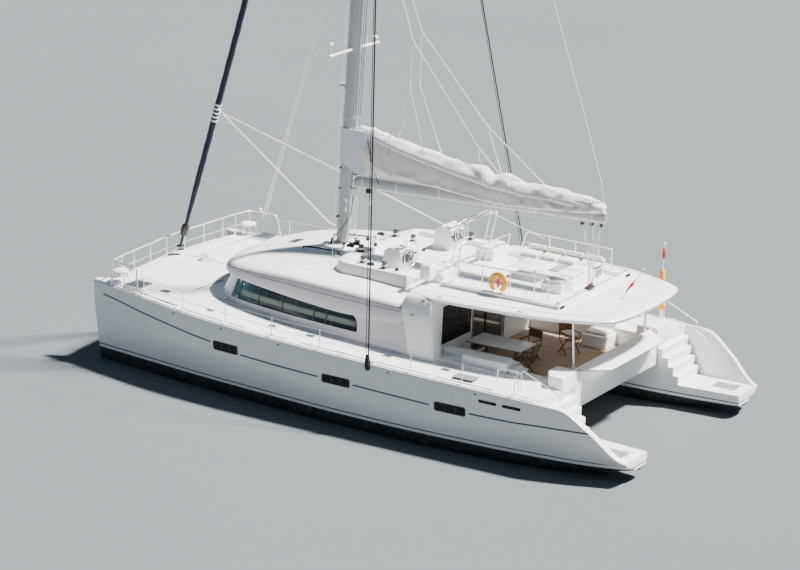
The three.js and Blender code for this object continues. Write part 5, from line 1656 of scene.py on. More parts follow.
# shares of the half-width and of the height
BAG_SECTION = [(0.0, -0.03), (0.4, -0.02), (0.62, 0.06), (0.8, 0.16), (0.95, 0.3), (1.0, 0.45), (1.0, 0.6),
               (0.96, 0.7), (0.86, 0.8), (0.7, 0.89), (0.52, 0.96), (0.3, 1.0), (0.0, 1.01)]
STACK_SECTION = [(0.0, 0.0), (0.55, 0.0), (0.76, 0.1), (0.84, 0.26), (0.78, 0.42), (0.6, 0.62), (0.32, 0.86),
                 (0.0, 1.0)]
# a dark line down the port side of the bag, near its head
BAG_DARK_LINE = [(1.98, 0.2, 7.42), (1.9, 0.225, 7.15), (1.8, 0.27, 6.85), (1.68, 0.28, 6.4), (1.55, 0.24, 6.05),
           (1.5, 0.14, 5.78)]
# x and y of the collar's edge, on its port side
COLLAR_PLAN = [(1.95, 0.235), (2.15, 0.225), (2.32, 0.215), (2.48, 0.205), (2.64, 0.19), (2.78, 0.165),
               (2.9, 0.12), (2.98, 0.05)]


def soft_ring(x, section, low, high):
    """A ring across the boat from one side's section, as shares of the bag's half-width and of a height."""
    half = BAG.read(x, "half")
    ring = [(x, half * y, mix(low, high, z)) for y, z in section]
    return ring + [(x, -y, z) for _, y, z in reversed(ring[1:-1])]


def crumple(point):
    """How far slack cloth stands out at a point: long folds hanging from the edge, and short creases."""
    foot, ridge = BAG.read(point.x, "foot"), BAG.read(point.x, "ridge")
    up = lie((point.z - foot) / (ridge - foot))
    long_fold = noise.noise(Vector((point.x * 0.9, point.y * 1.5, point.z * 1.2)))
    hang = noise.noise(Vector((point.x * 3.1 + point.z * 0.9, point.y, point.z * 0.7)))
    crease = noise.noise(Vector((point.x * 4.2 + point.z * 2.4, point.y * 5, point.z * 5.5)))
    return (0.035 * long_fold + 0.028 * hang) * min(1, 1.6 * up) + 0.012 * crease


def sail_relief(point):
    """How far the lowered sail's folds stand out at a point, where it shows above the bag."""
    fold = noise.noise(Vector((point.x * 2.4, point.y * 7, point.z * 6)))
    crease = noise.noise(Vector((point.x * 7.5, point.y * 9, point.z * 12)))
    return (0.045 * fold + 0.025 * abs(crease)) * lie((point.z - BAG.read(point.x, "ridge")) / 0.08)


def finer(bm):
    """The same form with each face cut in four."""
    bmesh.ops.subdivide_edges(bm, edges=bm.edges, cuts=1, use_grid_fill=True)
    bmesh.ops.recalc_face_normals(bm, faces=bm.faces)
    return bm


def simulated(bm, voxel, pressure, frames=18, reach=0.05, slack=0.0, pinned=None, gravity=0.0):
    """The soft form after a short cloth simulation, with no point moved further than reach."""
    item = scratch(bm, "soft")
    remesh = item.modifiers.new("remesh", "REMESH")
    remesh.mode = "VOXEL"
    remesh.voxel_size = voxel
    base = settled(item)
    discard(item)
    start = [vertex.co.copy() for vertex in base.verts]
    item = scratch(base, "soft")
    cloth_part = item.modifiers.new("cloth", "CLOTH")
    settings = cloth_part.settings
    settings.quality = 4
    settings.mass = 0.4
    settings.tension_stiffness = 12
    settings.compression_stiffness = 6
    settings.bending_stiffness = 0.4
    settings.shrink_min = -slack
    settings.use_pressure = pressure > 0
    settings.uniform_pressure_force = pressure
    settings.effector_weights.gravity = gravity
    if pinned:
        group = item.vertex_groups.new(name="pin")
        group.add([i for i, point in enumerate(start) if pinned(point)], 1.0, "REPLACE")
        settings.vertex_group_mass = "pin"
    cloth_part.point_cache.frame_start = 1
    cloth_part.point_cache.frame_end = frames
    for frame_number in range(1, frames + 1):
        bpy.context.scene.frame_set(frame_number)
    soft = settled(item)
    discard(item)
    bpy.context.scene.frame_set(1)
    for vertex, point in zip(soft.verts, start):
        move = vertex.co - point
        if move.length > reach:
            vertex.co = point + move.normalized() * reach
    bmesh.ops.smooth_vert(soft, verts=soft.verts, factor=0.4, use_axis_x=True, use_axis_y=True,
                          use_axis_z=True)
    return soft


class BOAT_OT_sail_bag(bpy.types.Operator):
    """Builds the slack bag on the boom, the lowered sail that stands out of it, and the collar"""

    bl_idname = "boat.sail_bag"
    bl_label = "Sail bag"

    def execute(self, context):
        def bag_z(x, share):
            return mix(BAG.read(x, "foot"), BAG.read(x, "ridge"), share)

        def held(point):
            low, high = bag_z(point.x, 0) + 0.05, bag_z(point.x, 1) - 0.04
            return point.z < low or point.z > high or point.x > 2.25 or point.x < -6.0

        places = [2.3 - 8.4 * i / 70 for i in range(71)]
        bag = finer(loft_of([soft_ring(x, BAG_SECTION, bag_z(x, 0), bag_z(x, 1)) for x in places]))
        for vertex in bag.verts:
            vertex.co += vertex.normal * crumple(vertex.co)
        bag = simulated(bag, 0.045, 0.35, 16, 0.07, 0.035, held, 0.6)
        item = Piece(bag).done("sail_bag_cloth", "canvas", "sail_bag", "boom", sharp=math.radians(70))

        places = [2.28 - 8.3 * i / 110 for i in range(111)]
        stack = finer(loft_of([soft_ring(x, STACK_SECTION, bag_z(x, 1) - 0.24, BAG.read(x, "crest"))
                               for x in places]))
        for vertex in stack.verts:
            vertex.co += vertex.normal * sail_relief(vertex.co)
        item = Piece(stack).done("lowered_sail", "sailcloth", body="boom", sharp=math.radians(75))

        seams_and_shade_lines = Piece()
        for side in (-1, 1):
            edge = [(x, side * BAG.read(x, "half") * 0.6, bag_z(x, 0.93) + 0.012) for x in places[2:-2:4]]
            seams_and_shade_lines.add(tube_of(edge, 0.012, 8))
            for x in (1.1, -0.3, -2.3, -3.3, -4.4, -5.6):
                batten = [(x, side * (BAG.read(x, "half") * out + 0.02), bag_z(x, share))
                          for out, share in ((0.97, 0.66), (0.86, 0.79), (0.52, 0.97))]
                seams_and_shade_lines.add(tube_of(batten, 0.014, 6))
        seams_and_shade_lines.done("bag_battens", "rope_grey", body="boom")
        Piece(tube_of(BAG_DARK_LINE, 0.012, 6)).done("bag_dark_line", "rope_black", body="boom")

        # The collar's cloth is canvas painted blue-grey, a painted shade.
        rows = []
        for x, y in COLLAR_PLAN + [(x, -y) for x, y in reversed(COLLAR_PLAN)]:
            low = mix(6.03, 6.3, lie((x - 2.3) / 0.6))
            rows.append([(x + 0.012 * math.sin(9 * t), y, mix(low, 7.36, t))
                         for t in (0, 0.2, 0.4, 0.6, 0.8, 1)])
        collar = finer(panel_of(rows, 0.02))
        for vertex in collar.verts:
            vertex.co.y += 0.018 * noise.noise(vertex.co * 3.5)
        item = Piece(collar).done("bag_collar", "collar_painted_shade", body=None, sharp=math.radians(70))
        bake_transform(item)
        return {"FINISHED"}


# Lazy jacks: paths from the mast down to the bag
LAZY_JACKS = [
    [(0.9, 0.2, 11.58), (0.44, 0.3, 10.43), (-1.94, 0.35, 7.6), (-2.17, 0.3, 6.58)],
    [(-1.94, 0.35, 7.6), (-3.08, 0.3, 6.5)],
    [(0.8, -0.2, 11.53), (0.5, -0.3, 10.63), (-1.88, -0.35, 8.05), (-2.54, -0.3, 6.55)],
    [(-1.88, -0.35, 8.05), (-4.16, -0.28, 6.46)],
    [(0.44, 0.3, 10.43), (0.44, 0.35, 9.02), (-0.13, 0.3, 6.97)],
    [(0.44, 0.35, 9.02), (1.12, 0.28, 7.25)],
    [(0.5, -0.3, 10.63), (0.49, -0.35, 8.92), (-0.41, -0.31, 6.92)],
    [(0.49, -0.35, 8.92), (1.13, -0.28, 7.25)],
    [(0.9, 0.2, 11.58), (mast_x(16.2), 0.13, 16.3)],
    [(0.8, -0.2, 11.53), (mast_x(16.2), -0.13, 16.3)],
]
BLOCKS = [(0.44, 0.3, 10.43), (-1.94, 0.35, 7.6), (0.5, -0.3, 10.63), (-1.88, -0.35, 8.05),
          (0.44, 0.35, 9.02), (0.49, -0.35, 8.92)]
CLEW = Vector((7.31, 0.11, 7.13))
LIFT_RING = (-5.93, 0, 7.06)
# distance along the shroud and radius, of the cover at its foot
SHROUD_COVER = [(-0.04, 0.02), (0.02, 0.055), (0.14, 0.065), (0.3, 0.05), (0.42, 0.02)]
DRUM = [(0.0, 0.0), (0.0, 0.12), (0.015, 0.128), (0.03, 0.128), (0.035, 0.07), (0.11, 0.07), (0.115, 0.128),
        (0.14, 0.128), (0.158, 0.06), (0.158, 0.0)]
SWIVEL = [(0.0, 0.0), (0.0, 0.1), (0.04, 0.125), (0.3, 0.128), (0.36, 0.112), (0.36, 0.0)]


class BOAT_OT_ropes(bpy.types.Operator):
    """Rigs the lazy jacks, topping lift, mainsheet, halyards, headsail sheets and shroud ends"""

    bl_idname = "boat.ropes"
    bl_label = "Ropes and shrouds"

    def execute(self, context):
        jacks = Piece(*(tube_of(path, 0.015, 6) for path in LAZY_JACKS))
        jacks.add(*(ball_of(place, 0.035, segments=8) for place in BLOCKS))
        item = jacks.done("lazy_jacks", "rope_white", body=None)
        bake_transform(item)

        lift = Piece(tube_of([(mast_x(30.2) - 0.25, 0, 30.2), (-4.01, 0, 12.21), (-5.35, 0, 8.69), LIFT_RING],
                             0.015, 6), ball_of(LIFT_RING, 0.045, segments=10))
        for end in ((-5.86, 0, 6.5), (-6.12, 0, 6.2)):
            lift.add(tube_of([LIFT_RING, end], 0.012, 6))
        item = lift.done("topping_lift", "rope_white", body=None)
        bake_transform(item)

        sheet = Piece()
        for x, y in ((-5.4, -0.02), (-5.7, 0.03), (-6.0, -0.03), (-5.7, -0.06), (-6.0, 0.05)):
            sheet.add(tube_of([(-5.87, 0.2 + y * 4, 3.99), (x, y, 5.86)], 0.017, 8))
        item = sheet.done("mainsheet", "rope_white", body=None)
        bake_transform(item)
        car = Piece(box_of(-5.97, -5.77, 0.0, 0.4, 3.88, 3.93, 0.015, 3))
        car.add(*(rod_of((-5.9, y, 3.97), (-5.84, y, 3.97), 0.05) for y in (0.07, 0.2, 0.34)))
        car.done("track_car", "winch_black")
        track = Piece(box_of(-5.9, -5.84, -2.28, 2.28, 3.84, 3.88, 0.008))
        track.add(*(box_of(-5.93, -5.81, y - 0.06, y + 0.06, 3.84, 3.92, 0.015) for y in (-2.2, 2.2)))
        track.done("mainsheet_track", "steel")
        flag = Piece(ball_of((-5.87, 0.12, 4.02), 0.045, (1, 1.3, 0.8)), ball_of((-5.87, 0.34, 4.02), 0.035))
        flag.done("sheet_markers", "life_red")

        still = Piece()
        for x, y, end in ((2.44, 0.06, (2.5, 0.33, 3.82)), (2.42, -0.03, (2.36, 0.2, 3.82)),
                          (2.4, 0.02, (2.3, -0.2, 3.82)), (2.36, -0.06, (2.5, -0.34, 3.82))):
            still.add(tube_of([(x - 0.02, y, 5.2), (x, y, 4.4), end], 0.011, 8, 0.2))
        for x, y, z in ((2.3, 1.0, 3.72), (2.28, 1.25, 3.78), (2.28, -1.1, 3.78)):
            start = (2.45, math.copysign(0.2, y), 3.8)
            still.add(tube_of([start, (2.35, y * 0.6, 3.76), (x, y, z)], 0.012, 8, 0.3))
        still.done("mast_ropes", "rope_white")
        dark = Piece()
        for y, gap in ((0.05, 0.05), (-0.05, 0.07)):
            dark.add(tube_of([(mast_x(z) - 0.25 - gap, y, z) for z in (7.8, 12, 18, 24, 29)], 0.011, 6))
        dark.add(tube_of([(2.4, 0.1, 5.3), (2.46, 0.12, 4.6), (2.95, 0.33, 3.82)], 0.012, 8, 0.2))
        dark.done("halyards", "rope_black")

        sheets = Piece(tube_of([CLEW, (4.4, -1.86, 3.66), (4.2, -1.9, 3.6)], 0.019, 8),
                       tube_of([CLEW, (2.35, -0.45, 5.55), (1.5, -0.8, 5.16), (0.08, -2.47, 3.98)], 0.019, 8))
        sheets.done("headsail_sheets", "rope_white")
        top = mast_x(22) + 0.2
        pair = Piece(tube_of([(7.98, -3.56, 2.88), (3.85, -0.12, 11.15), (top, -0.1, 22)], 0.014, 6),
                     tube_of([(7.92, -3.62, 2.88), (3.8, -0.16, 11.1), (top, -0.14, 22)], 0.014, 6),
                     tube_of([(mast_x(13) - 0.3, 1.1, 13), (1.7, 2.4, 3.45)], 0.006, 6))
        pair.done("spare_halyards", "rope_white")
        band = Piece()
        for step in range(5):
            t = (6.82 + 0.13 * step - FORESTAY_FOOT[2]) / (HOUNDS_Z - FORESTAY_FOOT[2])
            place = stay_bow(t)
            band.add(rod_of(place, place.lerp(stay_bow(t + 0.003), 0.85), 0.117, sides=22))
        band.add(tube_of([CLEW, CLEW + Vector((0.12, -0.02, 0.1)), stay_bow(0.19)], 0.03, 8))
        band.done("headsail_clew", "sailcloth")
        Piece(lathe_of(DRUM, (8.79, 0, 2.401))).done("furler_drum_body", "winch_black", "furler_drum")
        foot = stay_bow(0.014)
        Piece(lathe_of(SWIVEL, foot, stay_bow(0.03) - foot)).done("furler_swivel", "winch_black")
        line = Piece(*(ring_of((8.79, 0, 2.45 + 0.02 * i), (0, 0, 1), 0.078, 0.011, 8, 24) for i in range(3)))
        line.add(tube_of([(8.79, 0.08, 2.46), (8.6, 2.2, 2.42), (7.3, 4.18, 2.36), (2.2, 4.82, 2.2),
                          (-0.2, 4.86, 2.1)], 0.008, 6, 0.3))
        line.done("furling_line", "rope_white")

        foot = Vector((CHAINPLATE_X, 5.04, 1.68))
        top = Vector((mast_x(HOUNDS_Z), 0.15, HOUNDS_Z))
        away = (top - foot).normalized()
        rows = []
        for distance, radius in SHROUD_COVER:
            middle = foot + away * distance + Vector((0.03, 0, 0))
            rows.append([middle + Vector((math.cos(a) * (radius + 0.03), math.sin(a) * radius, 0))
                         for a in turns_of(14)])
        shroud = Piece(rod_of(foot, top, 0.023, sides=8), loft_of(rows),
                       rod_of(foot.lerp(top, 0.004) + Vector((0.09, 0, 0)), top, 0.011, sides=8))
        shroud.pair("shroud_{}_pair", "rubber", "shroud_{}")
        for word in ("port", "starboard"):
            redress(f"chainplate_{word}", f"chainplate_{word}_casting", "steel", 0.004)
        return {"FINISHED"}


class BOAT_OT_headsail(bpy.types.Operator):
    """Builds the headsail furled round its stay, with the edge of each wrap showing"""

    bl_idname = "boat.headsail"
    bl_label = "Furled headsail"

    def execute(self, context):
        rows = []
        side = Vector((0, 1, 0))
        low, high, count = 0.012, 0.93, 150
        for i in range(count + 1):
            t = mix(low, high, i / count)
            ahead = side.cross((stay_bow(t + 0.01) - stay_bow(t - 0.01)).normalized())
            thick = 0.105 * lie(0.45 + 7 * (t - low), 0.45, 1) * lie(0.5 + 9 * (high - t), 0.5, 1)
            ring = []
            for turn in turns_of(22):
                wrap = ((turn / (2 * math.pi) + t * 34) % 1.0) * 0.012
                out = side * math.cos(turn) + ahead * math.sin(turn)
                ring.append(stay_bow(t) + out * (thick - 0.006 + wrap))
            rows.append(ring)
        sail = Piece(loft_of(rows), tube_of([FORESTAY_FOOT, stay_bow(0.02)], 0.04),
                     tube_of([stay_bow(0.92), stay_bow(1.0)], 0.02))
        sail.done("furled_headsail_wraps", "sail_navy", "furled_headsail")
        return {"FINISHED"}


# Cushions, flybridge and cockpit

CUSHIONS = {}
CUSHION_EDGE = 0.012
CUSHION_GAP = 0.006


def cushion_form(long, wide, thick):
    """A stuffed cushion of that size round the origin, plumped by a cloth simulation and kept for reuse."""
    key = (round(long, 2), round(wide, 2), round(thick, 3))
    if key not in CUSHIONS:
        x, y, z = (size / 2 - CUSHION_EDGE for size in (long, wide, thick))
        soft = simulated(box_of(-x, x, -y, y, -z, z, min(0.03, thick * 0.3), 3), 0.024, 4.0, 18, 0.02)
        CUSHIONS[key] = scratch(soft, "cushion_form").data
        bpy.data.objects.remove(bpy.data.objects["cushion_form"])
    bm = bmesh.new()
    bm.from_mesh(CUSHIONS[key])
    return bm


def cushion_at(x0, x1, y0, y1, z0, z1):
    """A cushion that fills a box."""
    bm = cushion_form(x1 - x0, y1 - y0, z1 - z0)
    bmesh.ops.translate(bm, vec=((x0 + x1) / 2, (y0 + y1) / 2, (z0 + z1) / 2), verts=bm.verts)
    return bm


def row_of_cushions(x0, x1, y0, y1, z0, z1, count, along="x"):
    """A row of equal cushions with a small gap between them."""
    row = []
    for i in range(count):
        if along == "x":
            step = (x1 - x0) / count
            start = x0 + i * step
            row.append(cushion_at(start + CUSHION_GAP, start + step - CUSHION_GAP, y0, y1, z0, z1))
        else:
            step = (y1 - y0) / count
            start = y0 + i * step
            row.append(cushion_at(x0, x1, start + CUSHION_GAP, start + step - CUSHION_GAP, z0, z1))
    return row


# Places of the deck gear round the flybridge: x, y, kind
FLY_GEAR = [
    (1.45, 1.12, "winch"), (1.5, -1.05, "winch"), (0.26, -0.66, "block"), (1.1, -1.45, "winch"),
    (-0.07, 2.28, "winch"), (0.44, 2.22, "clutch"), (-0.49, 2.27, "block"), (1.95, -0.12, "block"),
    (1.95, -0.92, "clutch"), (1.42, 0.3, "block"), (1.95, 0.55, "clutch"), (1.98, 0.85, "clutch"),
    (-0.5, -2.27, "winch"), (0.44, -2.22, "clutch"), (0.75, 2.15, "winch"),
]
PLINTH_TOP_Z = 3.89
WHEEL_HUB = (-0.545, 1.55, 4.25)
WHEEL_RADIUS = 0.385


class BOAT_OT_helm(bpy.types.Operator):
    """Rounds the flybridge coaming, consoles and helm seats, and fits the wheels, screens and winches"""

    bl_idname = "boat.helm"
    bl_label = "Helm stations"

    def execute(self, context):
        redress("flybridge_plinth", "flybridge_coaming", "gelcoat", 0.035, 3)
        Piece(box_of(-1.08, 1.28, -2.13, 2.13, 3.715, 3.728, 0.004, 1)).done("helm_sole", "nonskid")
        gear = Piece()
        ropes = Piece()
        for x, y, kind in FLY_GEAR:
            top = PLINTH_TOP_Z if abs(y) > 2.14 or x > 1.3 or x < -1.1 else HARDTOP_TOP_Z
            if kind == "winch":
                gear.add(lathe_of([(h * 1.25, r * 1.3) for h, r in WINCH_PROFILE], (x, y, top - 0.01)))
                for up in (0.09, 0.114):
                    ropes.add(ring_of((x, y, top + up), (0, 0, 1), 0.078, 0.012, 8, 20))
            elif kind == "clutch":
                gear.add(box_of(x - 0.11, x + 0.11, y - 0.06, y + 0.06, top - 0.01, top + 0.07, 0.015),
                         box_of(x - 0.07, x + 0.02, y - 0.015, y + 0.015, top + 0.06, top + 0.1, 0.008))
            else:
                gear.add(rod_of((x, y - 0.025, top + 0.05), (x, y + 0.025, top + 0.05), 0.055),
                         box_of(x - 0.04, x + 0.04, y - 0.035, y + 0.035, top - 0.01, top + 0.03, 0.008))
        gear.done("deck_gear", "winch_black")
        for y, count in ((0.95, 3), (-0.55, 4), (0.1, 3)):
            for i in range(count):
                ropes.add(ring_of((1.62, y, 3.887 + 0.016 * i), (0, 0, 1), 0.1 + 0.012 * (i % 2), 0.009,
                                  6, 24))
        for path, radius in (
                ([(2.3, 0.55, 3.76), (2.0, 0.55, 3.95), (1.9, 0.55, 3.94), (1.6, 0.75, 3.9),
                  (1.45, 1.05, 3.95)], 0.01),
                ([(2.3, -0.95, 3.76), (2.0, -0.92, 3.95), (1.9, -0.92, 3.94), (1.5, -1.0, 3.95)], 0.01),
                ([(1.9, 1.9, 3.86), (0.9, 2.2, 3.93), (0.75, 2.2, 3.96)], 0.012)):
            ropes.add(tube_of(path, radius, 6, 0.1))
        ropes.done("deck_ropes", "rope_white")

        dressed("helm_console_port", 0.04, 3).pair("console_{}_shell", "gelcoat", "helm_console_{}")
        dash = Piece(box_of(-0.485, -0.44, 1.25, 1.85, 4.02, 4.3, 0.012),
                     box_of(-0.5, -0.46, 1.28, 1.52, 4.06, 4.25, 0.01),
                     box_of(-0.5, -0.46, 1.56, 1.8, 4.06, 4.25, 0.01),
                     rod_of((-0.33, 1.75, 4.46), (-0.33, 1.75, 4.53), 0.06, sides=18),
                     box_of(-0.16, 0.06, 1.3, 1.44, 4.37, 4.41, 0.01),
                     rod_of((-0.46, 1.1, 4.2), (-0.46, 1.16, 4.2), 0.03, sides=12))
        dash.pair("dash_{}", "winch_black")

        def on_hood(u, v):
            crown = 0.03 * math.sin(math.pi * u) + 0.012 * math.sin(math.pi * v)
            return (mix(-0.38, 0.12, u), mix(1.18, 1.92, v), mix(4.505, 4.375, u) + crown)

        Piece(sheet_of(on_hood, 8, 8, 0.02)).pair("console_{}_hood", "gelcoat")
        x, y, z = WHEEL_HUB
        wheel = Piece(ring_of(WHEEL_HUB, (1, 0, 0), WHEEL_RADIUS, 0.015, 10, 48))
        for spoke in range(5):
            turn = 2 * math.pi * spoke / 5 + math.pi / 2
            tip = (x, y + WHEEL_RADIUS * math.cos(turn), z + WHEEL_RADIUS * math.sin(turn))
            wheel.add(rod_of(WHEEL_HUB, tip, 0.009, sides=8))
        hub = [(-0.02, 0), (-0.02, 0.05), (0.015, 0.055), (0.03, 0.03), (0.04, 0)]
        wheel.add(lathe_of(hub, WHEEL_HUB, (-1, 0, 0)))
        wheel.pair("wheel_{}_rim", "steel", "wheel_{}", "wheel_{}")
        seat = Piece(box_of(-1.96, -1.34, 1.0, 2.1, 3.7, 4.02, 0.04, 4))
        seat.pair("helm_seat_{}_base", "gelcoat", "helm_seat_{}")
        rest = [(-1.9, 1.06, 4.0), (-1.98, 1.06, 4.4), (-1.98, 2.04, 4.4), (-1.9, 2.04, 4.0)]
        Piece(tube_of(rest, 0.018, 12, 0.09)).pair("helm_seat_{}_rest", "steel")
        pads = Piece(*row_of_cushions(-1.86, -1.36, 1.03, 2.07, 4.01, 4.11, 2, "y"))
        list(pads.pair("helm_cushions_{}", "cushion", sharp=CUSHION_ANGLE))
        locker = Piece(box_of(-1.75, -1.4, 2.1, 2.5, 3.85, 4.3, 0.04, 3),
                       box_of(-1.72, -1.43, 2.14, 2.47, 4.298, 4.32, 0.012))
        locker.done("side_locker", "gelcoat")
        return {"FINISHED"}


BUOY_HOOK = Vector((-3.88, 2.21, 4.13))
BUOY_REACH = 0.215


def on_hoop(angle, reach, out=0.0):
    """A point round the lifebuoy's hook, at an angle and a distance."""
    return BUOY_HOOK + Vector((reach * math.cos(angle), out, 1.12 * reach * math.sin(angle)))


class BOAT_OT_lounge(bpy.types.Operator):
    """Builds the flybridge lounge with its stuffed cushions, the lifebuoy and the ensign"""

    bl_idname = "boat.lounge"
    bl_label = "Flybridge lounge"

    def execute(self, context):
        base = Piece(box_of(-5.3, -2.7, -1.94, -1.25, 3.7, 4.0, 0.03, 3),
                     box_of(-5.3, -2.7, -1.94, -1.86, 3.72, 4.2, 0.03, 3),
                     box_of(-5.3, -4.6, -1.8, 0.9, 3.7, 4.0, 0.03, 3))
        base.done("lounge_base", "gelcoat", "flybridge_lounge")
        pads = Piece(*row_of_cushions(-4.58, -2.72, -1.83, -1.26, 3.995, 4.12, 3),
                     *row_of_cushions(-5.28, -4.62, -1.24, 0.88, 3.995, 4.12, 3, "y"),
                     cushion_at(-5.28, -4.62, -1.83, -1.26, 3.995, 4.12))
        for x in (-5.28, -4.63, -3.98, -3.35):
            pads.add(cushion_at(x, x + 0.62, -1.87, -1.74, 4.12, 4.3))
        pads.done("lounge_cushions", "cushion", sharp=CUSHION_ANGLE)
        table = Piece(box_of(-4.3, -3.2, -0.9, 0.2, 4.07, 4.1, 0.012, 2),
                      rod_of((-3.75, -0.35, 3.72), (-3.75, -0.35, 4.08), 0.05),
                      rod_of((-3.75, -0.35, 3.722), (-3.75, -0.35, 3.74), 0.16))
        table.done("lounge_table", "gelcoat")

        turns = [mix(-1.05, math.pi + 1.05, i / 30) for i in range(31)]
        hoop = tube_of([on_hoop(turn, BUOY_REACH) for turn in turns],
                       lambda share: 0.088 - 0.03 * (2 * abs(share - 0.5)) ** 6, 18)
        from_hook = Matrix.Translation(BUOY_HOOK).inverted()
        bmesh.ops.scale(hoop, vec=(1, 0.75, 1), space=from_hook, verts=hoop.verts)
        Piece(hoop).done("lifebuoy_ring", "life_orange", "lifebuoy")
        x = BUOY_HOOK.x
        bands = Piece(box_of(x - 0.035, x + 0.035, 2.19, 2.23, 3.98, 4.3, 0.02, 3))
        for turn in (0.1, 1.05, math.pi - 1.05, math.pi - 0.1):
            axis = (-math.sin(turn), 0, math.cos(turn))
            bands.add(ring_of(on_hoop(turn, BUOY_REACH), axis, 0.084, 0.008, 6, 24))
        bands.done("lifebuoy_bands", "life_red")
        line = Piece(tube_of([on_hoop(turn, 0.32, 0.02) for turn in turns], 0.008, 6))
        line.done("lifebuoy_line", "rope_white")

        staff = Piece(tube_of([(-6.9, 0.15, 3.72), (-7.35, -0.25, 4.62)], 0.014, 10),
                      ball_of((-7.35, -0.25, 4.63), 0.028))
        staff.done("flag_staff", "gelcoat")
        rows = []
        for i in range(30):
            t = i / 29
            middle = Vector((-7.0, 0.06, 3.95)).lerp(Vector((-7.2, -0.11, 4.33)), t)
            size = 0.05 * math.sin(math.pi * lie(0.08 + 0.86 * t)) + 0.012
            ring = []
            for turn in turns_of(14):
                out = size * (1 + 0.28 * math.sin(3 * turn + 9 * t))
                along, across = math.cos(turn), math.sin(turn)
                ring.append(middle + Vector((out * along, out * across, -0.03 * along)))
            rows.append(ring)
        Piece(loft_of(rows)).done("rolled_ensign", "ensign_red")
        return {"FINISHED"}


def chair_at(x, y, heading):
    """A folding chair: crossed wooden legs, arms, and a slung seat and back. Frame and cloth parts."""
    wood = []
    for side in (-0.24, 0.24):
        wood.append(box_of(-0.24, 0.22, side - 0.03, side + 0.03, 0.64, 0.665, 0.008))
        for x0, z0, x1, z1, radius in ((-0.22, 0.0, 0.2, 0.46, 0.016), (0.22, 0.0, -0.2, 0.46, 0.016),
                                       (-0.2, 0.44, -0.25, 0.92, 0.016), (0.2, 0.44, 0.19, 0.65, 0.014)):
            wood.append(rod_of((x0, side, z0), (x1, side, z1), radius, sides=8))
    for place, half, height, radius in ((-0.2, 0.25, 0.46, 0.014), (0.2, 0.25, 0.46, 0.014),
                                        (-0.12, 0.24, 0.1, 0.01), (-0.12, 0.24, 0.36, 0.01)):
        wood.append(rod_of((place, -half, height), (place, half, height), radius, sides=8))

    def on_seat(u, v):
        return (mix(-0.19, 0.19, u), mix(-0.24, 0.24, v), 0.475 - 0.05 * math.sin(math.pi * v))

    def on_back(u, v):
        return (mix(-0.215, -0.25, u) - 0.04 * math.sin(math.pi * v), mix(-0.24, 0.24, v), mix(0.66, 0.9, u))

    slung = [sheet_of(on_seat, 6, 8, 0.006), sheet_of(on_back, 6, 8, 0.006)]
    place = Matrix.Translation((x, y, SOLE_Z + 0.012)) @ Matrix.Rotation(math.radians(heading), 4, "Z")
    for part in wood + slung:
        bmesh.ops.transform(part, matrix=place, verts=part.verts)
    return wood, slung


def coaming_edge(t, out):
    """x of the aft coaming's top edge at a share of its half-width; out shifts it aft or forward."""
    turn = lie((abs(t) - 0.6) / 0.36)
    return mix(-7.5, -6.62, turn * turn * (3 - 2 * turn)) - out


# the coaming's section: share of its depth and height up its aft face, then x and z of its top and front
COAMING_FACE = ((0.06, 1.2), (0.2, 1.5), (0.45, 1.8), (0.8, 2.0))
COAMING_FRONT = ((-6.72, 2.13), (-6.66, 2.12), (-6.63, 2.09), (-6.81, 1.74), (-6.81, 1.36))
COAMING_HALF = 2.775
TEAK_PANELS = [(-6.1, -2.47, -1.85, 1.85), (-6.75, -4.78, 1.86, 2.78), (-6.75, -2.47, -2.78, -1.86)]


